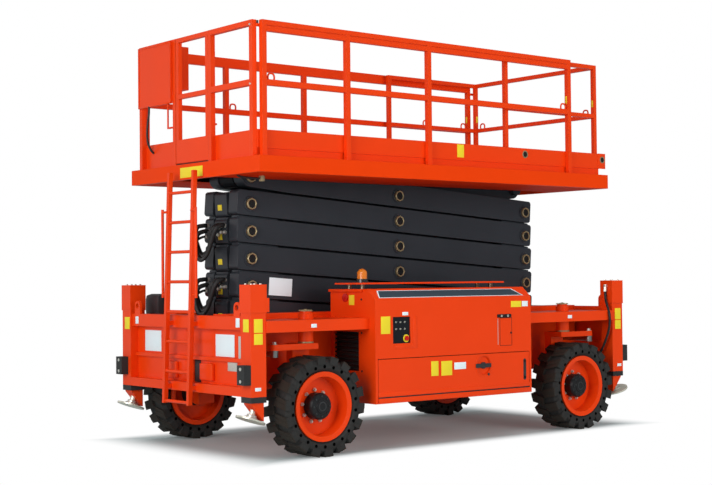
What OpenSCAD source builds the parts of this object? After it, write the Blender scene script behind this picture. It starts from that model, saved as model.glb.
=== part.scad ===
// Rough-terrain scissor lift, stowed and standing on its four wheels.
// X runs along the machine with the ladder at -X and the extension deck at +X.
// The control side faces -Y, Z is up, and the origin is on the ground under the middle.

/* [Wheels] */
// Distance of an axle from the chassis end
axle_inset = 687; // [675:1:700]
// Distance between the tyre centres of one axle
track = 1930; // [1910:1:1940]
// Tyre diameter over the lugs
tyre_d = 840; // [800:1:860]
// Tyre width
tyre_w = 305; // [290:1:310]
// Height of the tread lugs
lug_h = 26; // [18:1:30]
// Number of lugs on each half of the tread
lugs = 18; // [16:1:22]
// Rim seat diameter under the tyre
rim_seat_d = 526; // [500:1:540]
// Rim flange diameter
rim_flange_d = 582; // [560:1:600]
// Hub spindle diameter
spindle_d = 120; // [100:1:130]

/* [Steering] */
// Distance between the two kingpins of one axle
kingpin_track = 1700; // [1680:1:1720]
// Kingpin diameter
kingpin_d = 70; // [50:1:80]
// Kingpin housing diameter
housing_d = 128; // [110:1:140]
// Length of the steering arm, from kingpin to tie rod
steer_arm = 350; // [340:1:360]
// Tie rod diameter
tie_rod_d = 44; // [30:1:50]
// Steering cylinder diameter
steer_barrel_d = 80; // [70:1:86]

/* [Chassis] */
// Length over the outrigger posts
chassis_len = 4540; // [4500:1:4600]
// Width over the outrigger posts
chassis_w = 2060; // [2030:1:2090]
// Post section along the machine
post_x = 150; // [140:1:155]
// Post section across the machine
post_y = 144; // [135:1:150]
// Post wall
post_wall = 10; // [6:1:12]
// Underside of the posts
post_z0 = 530; // [520:1:560]
// Top of the posts
post_z1 = 1440; // [1380:1:1480]
// Height of the thicker head of a post
post_head_h = 230; // [150:1:260]
// Inner face of the main beams from the middle
beam_in = 300; // [296:1:310]
// Width of one main beam
beam_w = 200; // [180:1:210]
// Underside of the main beams
beam_z0 = 560; // [540:1:600]
// Top of the main beams
beam_z1 = 1190; // [1170:1:1200]
// Height of a kingpin beam
side_beam_h = 96; // [80:1:110]
// Underside of a kingpin beam
side_beam_z0 = 1046; // [1030:1:1060]
// Outer face of the kingpin beams from the middle
side_beam_y = 1040; // [1036:1:1060]

/* [Outriggers] */
// Height of the black guide collar under a post
collar_h = 47; // [40:1:60]
// Top end of a leg inside its post
leg_top = 1090; // [1000:1:1150]
// Lowest point of a leg
leg_tip = 330; // [310:1:350]
// Foot pad diameter
pad_d = 250; // [220:1:260]
// Foot pad thickness
pad_t = 14; // [10:1:20]
// Resting tilt of a foot pad
pad_tilt = 20; // [10:1:25]
// Slope of the cut across the lower end of a leg
leg_cut = 50; // [45:1:52]

/* [Engine covers] */
// Ladder end of the covers from the ladder axle
hood_past_ladder = 543; // [530:1:570]
// Extension end of the covers from the other axle
hood_past_deck = 723; // [690:1:740]
// Outer face of the covers from the middle
hood_y = 1120; // [1110:1:1130]
// Underside of the covers
hood_z0 = 405; // [395:1:430]
// Upper edge of the upright face
hood_face_z = 1298; // [1270:1:1310]
// Top of the covers
hood_z1 = 1390; // [1370:1:1400]
// Set-back of the sloping edge
hood_bevel = 103; // [90:1:120]
// Sheet and frame thickness of the covers
hood_wall = 25; // [20:1:30]
// Height of the joint between door and upper panel
hood_split = 790; // [760:1:810]
// Diameter of the door's hinge pins
hinge_d = 12; // [8:1:13]

/* [Ladder] */
// Width between the rail centres
ladder_w = 392; // [370:1:420]
// Lower end of the rails
ladder_z0 = 420; // [410:1:440]
// Upper end of the rails
ladder_z1 = 2420; // [2380:1:2430]
// Rails past the chassis end at the lower end
ladder_out = 60; // [55:1:62]
// Rails inside the chassis end at the upper end
ladder_in = 5; // [0:1:15]
// Depth of a rail
ladder_rail = 40; // [30:1:42]
// Rung diameter
rung_d = 28; // [24:1:34]
// Number of rungs
rungs = 8; // [7:1:9]

/* [Scissor stack] */
// Chassis length that the arms leave free beyond their end pins
arm_room = 1129; // [1120:1:1150]
// Height of one level when stowed
level = 239; // [238:1:245]
// Place of the middle pins along the machine
stack_x = -28; // [-40:1:-20]
// Height of the lowest pins
base_pin_z = 947; // [940:1:955]
// Pin diameter
pin_d = 76; // [60:1:84]
// Arm above the pin line
arm_over = 118; // [100:1:119]
// Arm below the pin line
arm_under = 100; // [90:1:102]
// Arm past its pin at the ladder end
arm_past_left = 138; // [120:1:150]
// Arm past its pin at the extension end
arm_past_right = 90; // [80:1:100]
// Half width of the inner arm
inner_half_w = 94; // [85:1:100]
// Inner face of an outer arm from the middle
outer_in = 126; // [120:1:130]
// Width of an outer arm
outer_w = 133; // [120:1:134]
// Roller diameter at the sliding ends
roller_d = 110; // [100:1:116]

/* [Platform] */
// Deck past the pins at the ladder end
deck_past_ladder = 440; // [430:1:450]
// Deck past the pins at the extension end
deck_past_ext = 412; // [400:1:425]
// Deck width
deck_w = 2052; // [2040:1:2080]
// Depth of the deck's edge beam
deck_lip = 136; // [120:1:140]
// Deck plate thickness
deck_plate = 14; // [10:1:15]
// Thickness of the edge beam
lip_t = 40; // [30:1:50]
// Height of the toe boards
toe_h = 223; // [200:1:240]
// Toe board thickness
toe_t = 20; // [16:1:22]
// Height of the guard rails over the deck
rail_h = 1125; // [1100:1:1150]
// Guard rail post section
rail_post = 45; // [40:1:48]
// Distance of the side rails from the middle
rail_y = 936; // [930:1:945]
// Depth of the upper side rail
rail_top_h = 92; // [80:1:100]
// Height of the knee rail over the deck
knee_z = 585; // [560:1:620]
// Depth of the knee rail
knee_h = 50; // [40:1:55]
// Middle of the end rail from the deck's ladder edge
end_rail_in = 39; // [36:1:42]
// Gate opening, control side
gate_y0 = -243; // [-250:1:-235]
// Gate opening, far side
gate_y1 = 284; // [275:1:295]

/* [Extension deck] */
// Length of the extension deck
ext_len = 1900; // [1700:1:2000]
// Extension floor thickness
ext_plate = 30; // [20:1:40]
// Section of the extension rails
ext_tube = 40; // [34:1:44]
// Outer face of the extension rails from the middle
ext_y = 878; // [870:1:884]
// Length of the extension's side rails
ext_rail_len = 1300; // [1200:1:1350]

/* [Hidden] */
$fn = 64;

// Ends and sides of the machine, as the sign of X and of Y
ladder_end = -1;
deck_end = 1;
near_side = -1;
far_side = 1;

// Clearances: running pins, seats that almost touch, and open gaps
run = 0.05;
seat = 0.3;
gap = 6;

// Paint and finish of the pieces
orange = [0.94, 0.28, 0.11];
charcoal = [0.17, 0.18, 0.2];
black = [0.06, 0.06, 0.06];
zinc = [0.72, 0.72, 0.68];

// Chassis places
chassis_x = chassis_len / 2;
chassis_y = chassis_w / 2;
wheelbase = chassis_len - 2 * axle_inset;
arm_span = chassis_len - arm_room;
post_cx = chassis_x - post_x / 2;
post_cy = chassis_y - post_y / 2;
post_face_x = chassis_x - post_x;
post_face_y = chassis_y - post_y;
beam_out = beam_in + beam_w;
end_beam_d = 100;
frame_in = 120;
frame_x = chassis_x - frame_in;
axle_z = tyre_d / 2;
axle_x = wheelbase / 2;
kingpin_y = kingpin_track / 2;
hood_x0 = hood_past_ladder - axle_x;
hood_x1 = axle_x - hood_past_deck;
ladder_x0 = chassis_x + ladder_out;
ladder_x1 = chassis_x - ladder_in;

// Steering places
plate_t = 50;
plate_drop = 156;
plate_z = side_beam_z0 - plate_drop;
housing_gap = 15;
housing_z = plate_z + plate_t + housing_gap;
housing_top = beam_z1;
tie_x = axle_x + steer_arm;
tie_end_out = 30;
tie_end_y = kingpin_y + tie_end_out;
ball_d = 70;
ball_h = 50;
tie_z = plate_z - gap - ball_h / 2;

// Scissor places
levels = 6;
rest_tilt = asin(level / arm_span);
half_span = arm_span * cos(rest_tilt) / 2;
left_pin_x = stack_x - half_span;
right_pin_x = stack_x + half_span;
top_pin_z = base_pin_z + levels * level;
outer_out = outer_in + outer_w;
pin_head_w = 22;
lug_gap = 26;
lug_half_w = outer_in - lug_gap;
roller_travel = 0.62;

// Platform places
deck_rise = 114;
deck_z = top_pin_z + deck_rise;
deck_under = deck_z - deck_plate;
rail_top = deck_z + rail_h;
deck_y = deck_w / 2;
toe_y = rail_y - rail_post / 2;
deck_x0 = left_pin_x - deck_past_ladder;
deck_x1 = right_pin_x + deck_past_ext;
end_rail_x = deck_x0 + end_rail_in;
first_post_in = 106;
rail_bay_1 = 883;
rail_bay_2 = 940;
first_post = deck_x0 + first_post_in;
side_posts = [first_post, first_post + rail_bay_1, first_post + rail_bay_1 + rail_bay_2];
near_last_in = 474;
far_last_in = 55;
near_last_post = deck_x1 - near_last_in;
far_last_post = deck_x1 - far_last_in;
end_post_y = 885;
ext_over = 12;
ext_x1 = deck_x1 + ext_over;
ext_floor_z = deck_z + seat;
ext_floor_top = ext_floor_z + ext_plate;

// Put a shape drawn for the deck end and the far side at one of the four corners
module corner(sx, sy) {
    mirror([sx < 0 ? 1 : 0, 0, 0]) mirror([0, sy < 0 ? 1 : 0, 0]) children();
}

// Put a shape drawn for the far side on one side
module side(sy) {
    mirror([0, sy < 0 ? 1 : 0, 0]) children();
}

// Block between two corners
module block(lo, hi) {
    translate(lo) cube(hi - lo);
}

// Plate with an outline in X and Z, from y0 to y1
module slab(y0, y1) {
    translate([0, y1, 0]) rotate([90, 0, 0]) linear_extrude(y1 - y0) children();
}

// Round bar along Y
module cross_bar(x, z, d, y0, y1) {
    translate([x, y1, z]) rotate([90, 0, 0]) cylinder(d = d, h = y1 - y0);
}

// Rectangle with round corners
module rounded(x0, x1, y0, y1, r) {
    translate([x0 + r, y0]) square([x1 - x0 - 2 * r, y1 - y0]);
    translate([x0, y0 + r]) square([x1 - x0, y1 - y0 - 2 * r]);
    for (x = [x0 + r, x1 - r], y = [y0 + r, y1 - r]) translate([x, y]) circle(r);
}

// Two box beams, belly plate, pivot lugs for the lowest arm and the roller track
module main_frame() {
    lug = 95;
    track_w = beam_in - outer_out - gap;
    track_z = base_pin_z - roller_d / 2 - seat;
    travel = arm_span * roller_travel;
    window = tie_rod_d + 2 * gap;
    color(orange) difference() {
        union() {
            for (sy = [near_side, far_side]) side(sy) {
                block([-frame_x, beam_in, beam_z0], [frame_x, beam_out, beam_z1]);
                block([left_pin_x - lug, lug_half_w + 4, beam_z0], [left_pin_x + lug, beam_in, base_pin_z + lug]);
                block([right_pin_x - travel, beam_in - track_w, track_z - 40],
                      [right_pin_x + lug, beam_in, track_z]);
            }
            block([-frame_x, -beam_in, beam_z0], [frame_x, beam_in, beam_z0 + 20]);
            for (sx = [ladder_end, deck_end])
                translate([sx * (frame_x - 20) - 20, -beam_in, beam_z0]) cube([40, 2 * beam_in, 420]);
            cross_bar(left_pin_x, base_pin_z, pin_d, -beam_in, beam_in);
        }
        for (sx = [ladder_end, deck_end], sy = [near_side, far_side]) corner(sx, sy)
            block([tie_x - window / 2, beam_in - 1, tie_z - window / 2],
                  [tie_x + window / 2, beam_out + 1, tie_z + window / 2]);
    }
}

// Cross beams, panels and lashing eyes at both ends of the chassis
module end_frames() {
    top_z0 = beam_z1 - 120;
    top_z1 = beam_z1 - 10;
    low_z1 = post_z0 + 75;
    mid_z = 816;
    panel_x = frame_x + 20;
    eye_r = 25;
    eye_y = 800;
    eye_z = top_z1 + 72;
    eye_half = 45;
    eye_t = 25;
    color(orange) for (sx = [ladder_end, deck_end]) corner(sx, far_side) {
        difference() {
            union() {
                block([frame_x, -post_face_y, top_z0], [frame_x + end_beam_d, post_face_y, top_z1]);
                block([frame_x, -post_face_y, post_z0], [chassis_x, post_face_y, low_z1]);
                block([panel_x, -post_face_y, low_z1], [panel_x + 20, post_face_y, top_z0]);
                block([frame_x, -post_face_y, mid_z - 15], [frame_x + 70, post_face_y, mid_z + 15]);
                for (sy = [near_side, far_side]) side(sy) {
                    translate([frame_x + end_beam_d - eye_t, eye_y - eye_half, top_z1])
                        cube([eye_t, 2 * eye_half, eye_z - top_z1]);
                    translate([frame_x + end_beam_d - eye_t, eye_y, eye_z])
                        rotate([0, 90, 0]) cylinder(r = eye_half, h = eye_t);
                }
            }
            block([panel_x - 1, -beam_in, low_z1], [panel_x + 21, beam_in, mid_z - 15]);
            for (sy = [near_side, far_side]) side(sy)
                translate([frame_x, eye_y, eye_z]) rotate([0, 90, 0]) cylinder(r = eye_r, h = end_beam_d + 1);
        }
    }
}

// Four square tubes with thicker heads that house the outrigger legs
module outrigger_posts() {
    head = 6;
    color(orange) for (sx = [ladder_end, deck_end], sy = [near_side, far_side]) corner(sx, sy) difference() {
        union() {
            block([post_face_x, post_face_y, post_z0], [chassis_x, chassis_y, post_z1]);
            block([post_face_x - head, post_face_y - head, post_z1 - post_head_h],
                  [chassis_x + head, chassis_y + head, post_z1]);
        }
        block([post_face_x + post_wall, post_face_y + post_wall, post_z0 - 1],
              [chassis_x - post_wall, chassis_y - post_wall, post_z1 - 2 * post_wall]);
    }
}

// Half sizes of a leg, guided by its collar inside the post
leg_half_x = post_x / 2 - post_wall - gap;
leg_half_y = post_y / 2 - post_wall - gap;

// Black guide collars under the posts
module leg_collars() {
    color(black) for (sx = [ladder_end, deck_end], sy = [near_side, far_side]) corner(sx, sy) difference() {
        block([post_face_x, post_face_y, post_z0 - collar_h], [chassis_x, chassis_y, post_z0]);
        block([post_cx - leg_half_x - seat, post_cy - leg_half_y - seat, post_z0 - collar_h - 1],
              [post_cx + leg_half_x + seat, post_cy + leg_half_y + seat, post_z0 + 1]);
    }
}

// Outrigger leg with a slanted lower end and a tilted foot pad
module leg(sx, sy) {
    heel = leg_tip + 2 * leg_half_x * tan(leg_cut);
    pad_x = post_cx + 35;
    stud_d = 50;
    stud_h = 105;
    pad_z = leg_tip + (pad_x - post_cx + leg_half_x) * tan(pad_tilt) - 22;
    color(orange) corner(sx, sy) {
        slab(post_cy - leg_half_y, post_cy + leg_half_y)
            polygon([[post_cx - leg_half_x, leg_tip], [post_cx + leg_half_x, heel],
                     [post_cx + leg_half_x, leg_top], [post_cx - leg_half_x, leg_top]]);
        translate([pad_x, post_cy, pad_z]) rotate([0, -pad_tilt, 0]) {
            translate([0, 0, -pad_t / 2]) cylinder(d = pad_d, h = pad_t);
            cylinder(d = stud_d, h = stud_h);
        }
    }
}

// Rubber bumper blocks on the outer faces of the posts
module bumpers() {
    bump_x = 70;
    bump_y = 100;
    bump_z0 = post_z0 + 100;
    bump_h = 160;
    color(black) for (sx = [ladder_end, deck_end], sy = [near_side, far_side]) corner(sx, sy)
        block([chassis_x, chassis_y - bump_y, bump_z0], [chassis_x + bump_x, chassis_y, bump_z0 + bump_h]);
}

// Beams over the wheels with the kingpin housings
module kingpin_beams() {
    cap_d = 100;
    cap_h = 20;
    for (sx = [ladder_end, deck_end], sy = [near_side, far_side])
        color(orange) corner(sx, sy) difference() {
            union() {
                block([sx < 0 ? -hood_x0 : hood_x1, beam_out, side_beam_z0],
                      [post_face_x, side_beam_y, side_beam_z0 + side_beam_h]);
                translate([axle_x, kingpin_y, housing_z]) cylinder(d = housing_d, h = housing_top - housing_z);
                translate([axle_x, kingpin_y, housing_top]) cylinder(d = cap_d, h = cap_h);
            }
            translate([axle_x, kingpin_y, housing_z - 1])
                cylinder(d = kingpin_d + 2 * run, h = housing_top - housing_z + 1);
        }
}

// Outline of an engine cover in Y and Z, pulled in by a sheet thickness
module hood_outline(t) {
    slope = hood_bevel / (hood_z1 - hood_face_z);
    polygon([[beam_out + t, hood_z0 + t], [hood_y - t, hood_z0 + t], [hood_y - t, hood_face_z - t / 2],
             [hood_y - hood_bevel - t / 2 / slope, hood_z1 - t], [beam_out + t, hood_z1 - t]]);
}

// Prism of a YZ outline between two places along X
module along_x(x0, x1) {
    translate([x0, 0, 0]) rotate([90, 0, 90]) linear_extrude(x1 - x0) children();
}

// Ground control opening in the near cover
panel_in = 197;
panel_w = 202;
panel_up = 126;
panel_h = 230;
panel_x0 = hood_x0 + panel_in;
panel_x1 = panel_x0 + panel_w;
panel_z0 = hood_split + panel_up;
panel_z1 = panel_z0 + panel_h;

// Hinge line of the drop-down doors, inside their lower edge
hinge_in = 8;
hinge_y = hood_y - hinge_in;
hinge_z = hood_z0 + hinge_in;
hinge_reach = 50;

// Engine cover: folded shell with a grille in the ladder end, a doorway below and the door's hinge pins
module hood(sy) {
    vent_y0 = beam_out + 55;
    vent_y1 = vent_y0 + 337;
    vent_z0 = 680;
    vent_z1 = 1020;
    slats = 9;
    slat_pitch = (vent_z1 - vent_z0) / slats;
    color(orange) side(sy) {
        difference() {
            along_x(hood_x0, hood_x1) hood_outline(0);
            along_x(hood_x0 + hood_wall, hood_x1 - hood_wall) hood_outline(hood_wall);
            block([hood_x0 + hood_wall, hood_y - 2 * hood_wall, hood_z0 - 1],
                  [hood_x1 - hood_wall, hood_y + 1, hood_split]);
            block([hood_x0 - 1, vent_y0, vent_z0], [hood_x0 + hood_wall + 1, vent_y1, vent_z1]);
            if (sy < 0) block([panel_x0, hood_y - hood_wall - 1, panel_z0], [panel_x1, hood_y + 1, panel_z1]);
        }
        for (i = [0 : slats - 1])
            block([hood_x0 + 5, vent_y0, vent_z0 + i * slat_pitch],
                  [hood_x0 + hood_wall, vent_y1, vent_z0 + (i + 0.4) * slat_pitch]);
        for (x = [hood_x0 + hood_wall - 1, hood_x1 - hood_wall - hinge_reach])
            translate([x, hinge_y, hinge_z]) rotate([0, 90, 0]) cylinder(d = hinge_d, h = hinge_reach + 1);
    }
}

// Drop-down door of an engine cover with its latch recess, turning on the two hinge pins
module hood_door(sy) {
    x0 = hood_x0 + hood_wall + gap;
    x1 = hood_x1 - hood_wall - gap;
    latch_in = 619;
    latch_x = hood_x1 - latch_in;
    latch_r = 90;
    latch_down = 14;
    latch_z = hood_split - gap - latch_r - latch_down;
    bore = hinge_reach + gap;
    color(orange) side(sy) {
        difference() {
            block([x0, hood_y - hood_wall, hood_z0], [x1, hood_y, hood_split - gap]);
            translate([latch_x, hood_y + 1, latch_z]) rotate([90, 0, 0]) cylinder(r = latch_r, h = 16);
            for (x = [x0 - 1, x1 - bore]) translate([x, hinge_y, hinge_z])
                rotate([0, 90, 0]) cylinder(d = hinge_d + 2 * run, h = bore + 1);
        }
        translate([latch_x - 60, hood_y - 16, latch_z - 12]) cube([120, 13, 24]);
    }
}

// Rain plates on stand-offs over the covers
module canopies() {
    plate_z0 = hood_z1 + 40;
    plate_h = 15;
    x0 = hood_x0 - 30;
    x1 = hood_x1 - 130;
    y0 = beam_out + 100;
    y1 = beam_out + 400;
    color(orange) for (sy = [near_side, far_side]) side(sy) {
        block([x0, y0, plate_z0], [x1, y1, plate_z0 + plate_h]);
        for (x = [x0 + 120, x1 - 120], y = [y0 + 60, y1 - 60])
            translate([x, y, hood_z1]) cylinder(d = 40, h = plate_z0 - hood_z1);
    }
}

// Amber warning beacon on the near rain plate
module beacon() {
    z = hood_z1 + 55;
    r = 50;
    beacon_in = 160;
    beacon_out = 250;
    color([0.9, 0.45, 0.05]) translate([hood_x0 + beacon_in, -(beam_out + beacon_out), z]) {
        cylinder(r = r, h = 30);
        translate([0, 0, 30]) cylinder(r = r - 6, h = 50);
        translate([0, 0, 80]) intersection() {
            sphere(r = r - 6);
            cylinder(r = r, h = r);
        }
    }
}

// Ground control box in the near cover with its stop button
module ground_control() {
    depth = 60;
    face = hood_y - 12;
    color(black) side(near_side) {
        block([panel_x0 + seat, face - depth, panel_z0 + seat], [panel_x1 - seat, face, panel_z1 - seat]);
        translate([panel_x1 - 43, face + 20, panel_z0 + 42]) rotate([90, 0, 0]) cylinder(d = 40, h = 20);
    }
}

// Engine as one plain block on the near floor plate
module engine_block() {
    in_x0 = 140;
    in_x1 = 800;
    in_y0 = 90;
    in_y1 = 120;
    engine_h = 560;
    floor_z = hood_z0 + hood_wall;
    color(charcoal) side(near_side)
        block([hood_x0 + in_x0, beam_out + in_y0, floor_z],
              [hood_x1 - in_x1, hood_y - in_y1, floor_z + engine_h]);
}

// Oil and fuel tank as one plain block on the far floor plate
module oil_tank() {
    in_x0 = 200;
    in_x1 = 300;
    in_y0 = 80;
    in_y1 = 150;
    tank_h = 480;
    floor_z = hood_z0 + hood_wall;
    color(charcoal) side(far_side)
        block([hood_x0 + in_x0, beam_out + in_y0, floor_z],
              [hood_x1 - in_x1, hood_y - in_y1, floor_z + tank_h]);
}

// Leaning ladder on the end frame, with hand bars outside its rails
module ladder() {
    lean = (ladder_x0 - ladder_x1) / (ladder_z1 - ladder_z0);
    rail_t = 34;
    half = ladder_rail / 2;
    first_rung = 20;
    top_clear = 182;
    rung_step = (ladder_z1 - ladder_z0 - first_rung - top_clear) / (rungs - 1);
    bracket_h = 40;
    bar_d = 25;
    stub_d = 20;
    bar_z0 = 1330;
    bar_z1 = 2100;
    bar_out = 72;
    color(orange) {
        for (sy = [near_side, far_side]) side(sy) {
            slab(ladder_w / 2 - rail_t / 2, ladder_w / 2 + rail_t / 2)
                polygon([[-ladder_x0 - half, ladder_z0], [-ladder_x0 + half, ladder_z0],
                         [-ladder_x1 + half, ladder_z1], [-ladder_x1 - half, ladder_z1]]);
            for (z = [post_z0 + 15, beam_z1 - 100]) {
                rail_x = ladder_x0 - lean * (z - ladder_z0);
                back = z < 800 ? chassis_x : frame_x + end_beam_d;
                block([-rail_x, ladder_w / 2 - rail_t / 2, z],
                      [-back - seat, ladder_w / 2 + rail_t / 2, z + bracket_h]);
            }
            bar_x0 = -(ladder_x0 - lean * (bar_z0 - ladder_z0));
            translate([bar_x0, ladder_w / 2 + bar_out, bar_z0]) cylinder(d = bar_d, h = bar_z1 - bar_z0);
            for (z = [bar_z0 + bar_d, bar_z1 - bar_d]) translate([bar_x0, ladder_w / 2, z])
                rotate([-90, 0, 0]) cylinder(d = stub_d, h = bar_out);
        }
        for (i = [0 : rungs - 1]) {
            z = ladder_z0 + first_rung + i * rung_step;
            cross_bar(-(ladder_x0 - lean * (z - ladder_z0)), z, rung_d, -ladder_w / 2, ladder_w / 2);
        }
    }
}

// Double-ended steering cylinders between the main beams
module steering_barrels() {
    color(black) for (sx = [ladder_end, deck_end]) difference() {
        cross_bar(sx * tie_x, tie_z, steer_barrel_d, -beam_in, beam_in);
        cross_bar(sx * tie_x, tie_z, tie_rod_d + 2 * run, -beam_in - 1, beam_in + 1);
    }
}

// Steering rod through its cylinder with a ball joint housing at each end
module tie_rod(sx) {
    color(zinc) {
        cross_bar(sx * tie_x, tie_z, tie_rod_d, -tie_end_y, tie_end_y);
        for (sy = [near_side, far_side]) translate([sx * tie_x, sy * tie_end_y, tie_z - ball_h / 2])
            cylinder(d = ball_d, h = ball_h + gap - seat);
    }
}

// Steering knuckle: kingpin, top plate with arm, leg inside the wheel and hub spindle
module knuckle(sx, sy) {
    leg_y1 = track / 2 - tyre_w / 2 - 37;
    leg_y0 = leg_y1 - 85;
    leg_half = 85;
    flange_d = 220;
    arm_w = 70;
    spindle_end = track / 2 - 40;
    color(orange) corner(sx, sy) {
        translate([axle_x, kingpin_y, plate_z + 1]) cylinder(d = kingpin_d, h = housing_top - plate_z - 6);
        translate([axle_x, kingpin_y, plate_z + 1]) cylinder(d = housing_d - 10, h = housing_z - plate_z - 1 - seat);
        block([axle_x - leg_half, leg_y0, plate_z], [axle_x + leg_half, kingpin_y + 65, plate_z + plate_t]);
        block([axle_x, tie_end_y - arm_w / 2, plate_z], [tie_x, tie_end_y + arm_w / 2, plate_z + plate_t]);
        translate([tie_x, tie_end_y, plate_z]) cylinder(d = arm_w, h = plate_t);
        block([axle_x - leg_half, leg_y0, axle_z - leg_half], [axle_x + leg_half, leg_y1, plate_z + 1]);
        cross_bar(axle_x, axle_z, flange_d, leg_y1 - 1, leg_y1 + 30);
        cross_bar(axle_x, axle_z, spindle_d, leg_y1, spindle_end);
    }
}

// Deep-dished rim with a hub motor cover, turning on the spindle
module rim(sx, sy) {
    half = tyre_w / 2;
    seat_r = rim_seat_d / 2;
    flange_r = rim_flange_d / 2;
    lip = half - 17;
    barrel_t = 14;
    hub_r = 112;
    cap_out = half - 42;
    dish = 25;
    bore_r = spindle_d / 2 + run;
    spindle_end = -40 + 5;
    color(orange) corner(sx, sy) translate([axle_x, track / 2, axle_z]) rotate([-90, 0, 0])
        rotate_extrude($fn = 96)
            polygon([[bore_r, -half + 60], [hub_r, -half + 60], [hub_r, -dish], [seat_r - barrel_t, -dish],
                     [seat_r - barrel_t, -lip], [flange_r, -lip], [flange_r, -lip + 22], [seat_r, -lip + 22],
                     [seat_r, lip - 22], [flange_r, lip - 22], [flange_r, lip], [seat_r - barrel_t, lip - 6],
                     [seat_r - barrel_t - 12, 10], [hub_r + 45, 0], [hub_r, 0], [hub_r, cap_out - 30],
                     [hub_r - 12, cap_out - 12], [60, cap_out - 8], [56, cap_out], [0, cap_out],
                     [0, spindle_end], [bore_r, spindle_end]]);
}

// Solid rubber tyre with two staggered rows of slanted lugs, seated on its rim
module tyre(sx, sy) {
    half = tyre_w / 2;
    wall = half - 8;
    seat_r = rim_seat_d / 2 + seat;
    bead_r = rim_flange_d / 2 + seat;
    bead = half - 39 - seat;
    tread_r = tyre_d / 2;
    base_r = tread_r - lug_h;
    shoulder = 30;
    profile = [[seat_r, bead], [bead_r, bead], [bead_r + shoulder, wall], [base_r - shoulder, wall],
               [base_r, wall - shoulder]];
    lug_reach = 40;
    lug_w = 46;
    lug_top = sqrt(tread_r * tread_r - lug_reach * lug_reach);
    lug_root = base_r - 1.5 * shoulder;
    lug_turn = atan(lug_reach / lug_top);
    pitch = 360 / lugs;
    lug = [[lug_reach, half], [lug_reach - lug_w, half], [-lug_reach, 8], [lug_w - lug_reach, -6]];
    color(black) corner(sx, sy) translate([axle_x, track / 2, axle_z]) rotate([-90, 0, 0]) {
        rotate_extrude($fn = 22)
            polygon(concat(profile, [for (i = [len(profile) - 1 : -1 : 0]) [profile[i][0], -profile[i][1]]]));
        for (i = [0 : lugs - 1], row = [0, 1])
            mirror([0, 0, row]) rotate([0, 0, 90 + lug_turn + (i + row / 2) * pitch])
                translate([lug_root, 0, 0]) rotate([90, 0, 90]) linear_extrude(lug_top - lug_root) polygon(lug);
    }
}

// Bar of an arm around its three pins; cut marks an upper end that fits under the deck
module arm_bar(cut_left, cut_right) {
    r = 30;
    end_r = 88;
    taper = 420;
    half = arm_span / 2;
    x0 = cut_left ? -half + taper : -half - arm_past_left;
    x1 = cut_right ? half - taper : half + arm_past_right;
    rounded(x0, x1, -arm_under, arm_over, r);
    if (cut_left) {
        translate([-half, 0]) circle(end_r);
        polygon([[-half, -end_r], [-half, end_r], [x0 + r, arm_over], [x0 + r, -arm_under]]);
    }
    if (cut_right) {
        translate([half, 0]) circle(end_r);
        polygon([[half, -end_r], [half, end_r], [x1 - r, arm_over], [x1 - r, -arm_under]]);
    }
}

// Inner arm of one level, rising towards the extension end, bored for its pins
module inner_arm(k) {
    half = arm_span / 2;
    roller_w = 60;
    roller_y0 = inner_half_w + gap;
    color(charcoal)
        translate([stack_x, 0, base_pin_z + (k - 0.5) * level]) rotate([0, -rest_tilt, 0]) {
            difference() {
                slab(-inner_half_w, inner_half_w) arm_bar(false, k == levels);
                for (x = [-half, 0]) cross_bar(x, 0, pin_d + 2 * run, -inner_half_w - 1, inner_half_w + 1);
                if (k < levels) cross_bar(half, 0, pin_d + 2, -inner_half_w - 1, inner_half_w + 1);
            }
            if (k == levels) {
                cross_bar(half, 0, pin_d - 20, -roller_y0 - roller_w, roller_y0 + roller_w);
                for (sy = [near_side, far_side]) side(sy)
                    cross_bar(half, 0, roller_d, roller_y0, roller_y0 + roller_w);
            }
        }
}

// Pair of outer arms of one level, falling towards the extension end, joined by their pins
module outer_arm(k) {
    half = arm_span / 2;
    roller_w = beam_in - outer_out - gap - 8;
    color(charcoal)
        translate([stack_x, 0, base_pin_z + (k - 0.5) * level]) rotate([0, rest_tilt, 0]) {
            for (sy = [near_side, far_side]) side(sy) {
                slab(outer_in, outer_out) arm_bar(k == levels, false);
                if (k == 1) cross_bar(half, 0, roller_d, outer_out + gap, outer_out + gap + roller_w);
            }
            for (x = [-half, 0, half]) {
                reach = k == 1 && x > 0 ? gap + roller_w : pin_head_w;
                cross_bar(x, 0, pin_d, -outer_out - reach, outer_out + reach);
            }
        }
}

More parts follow.
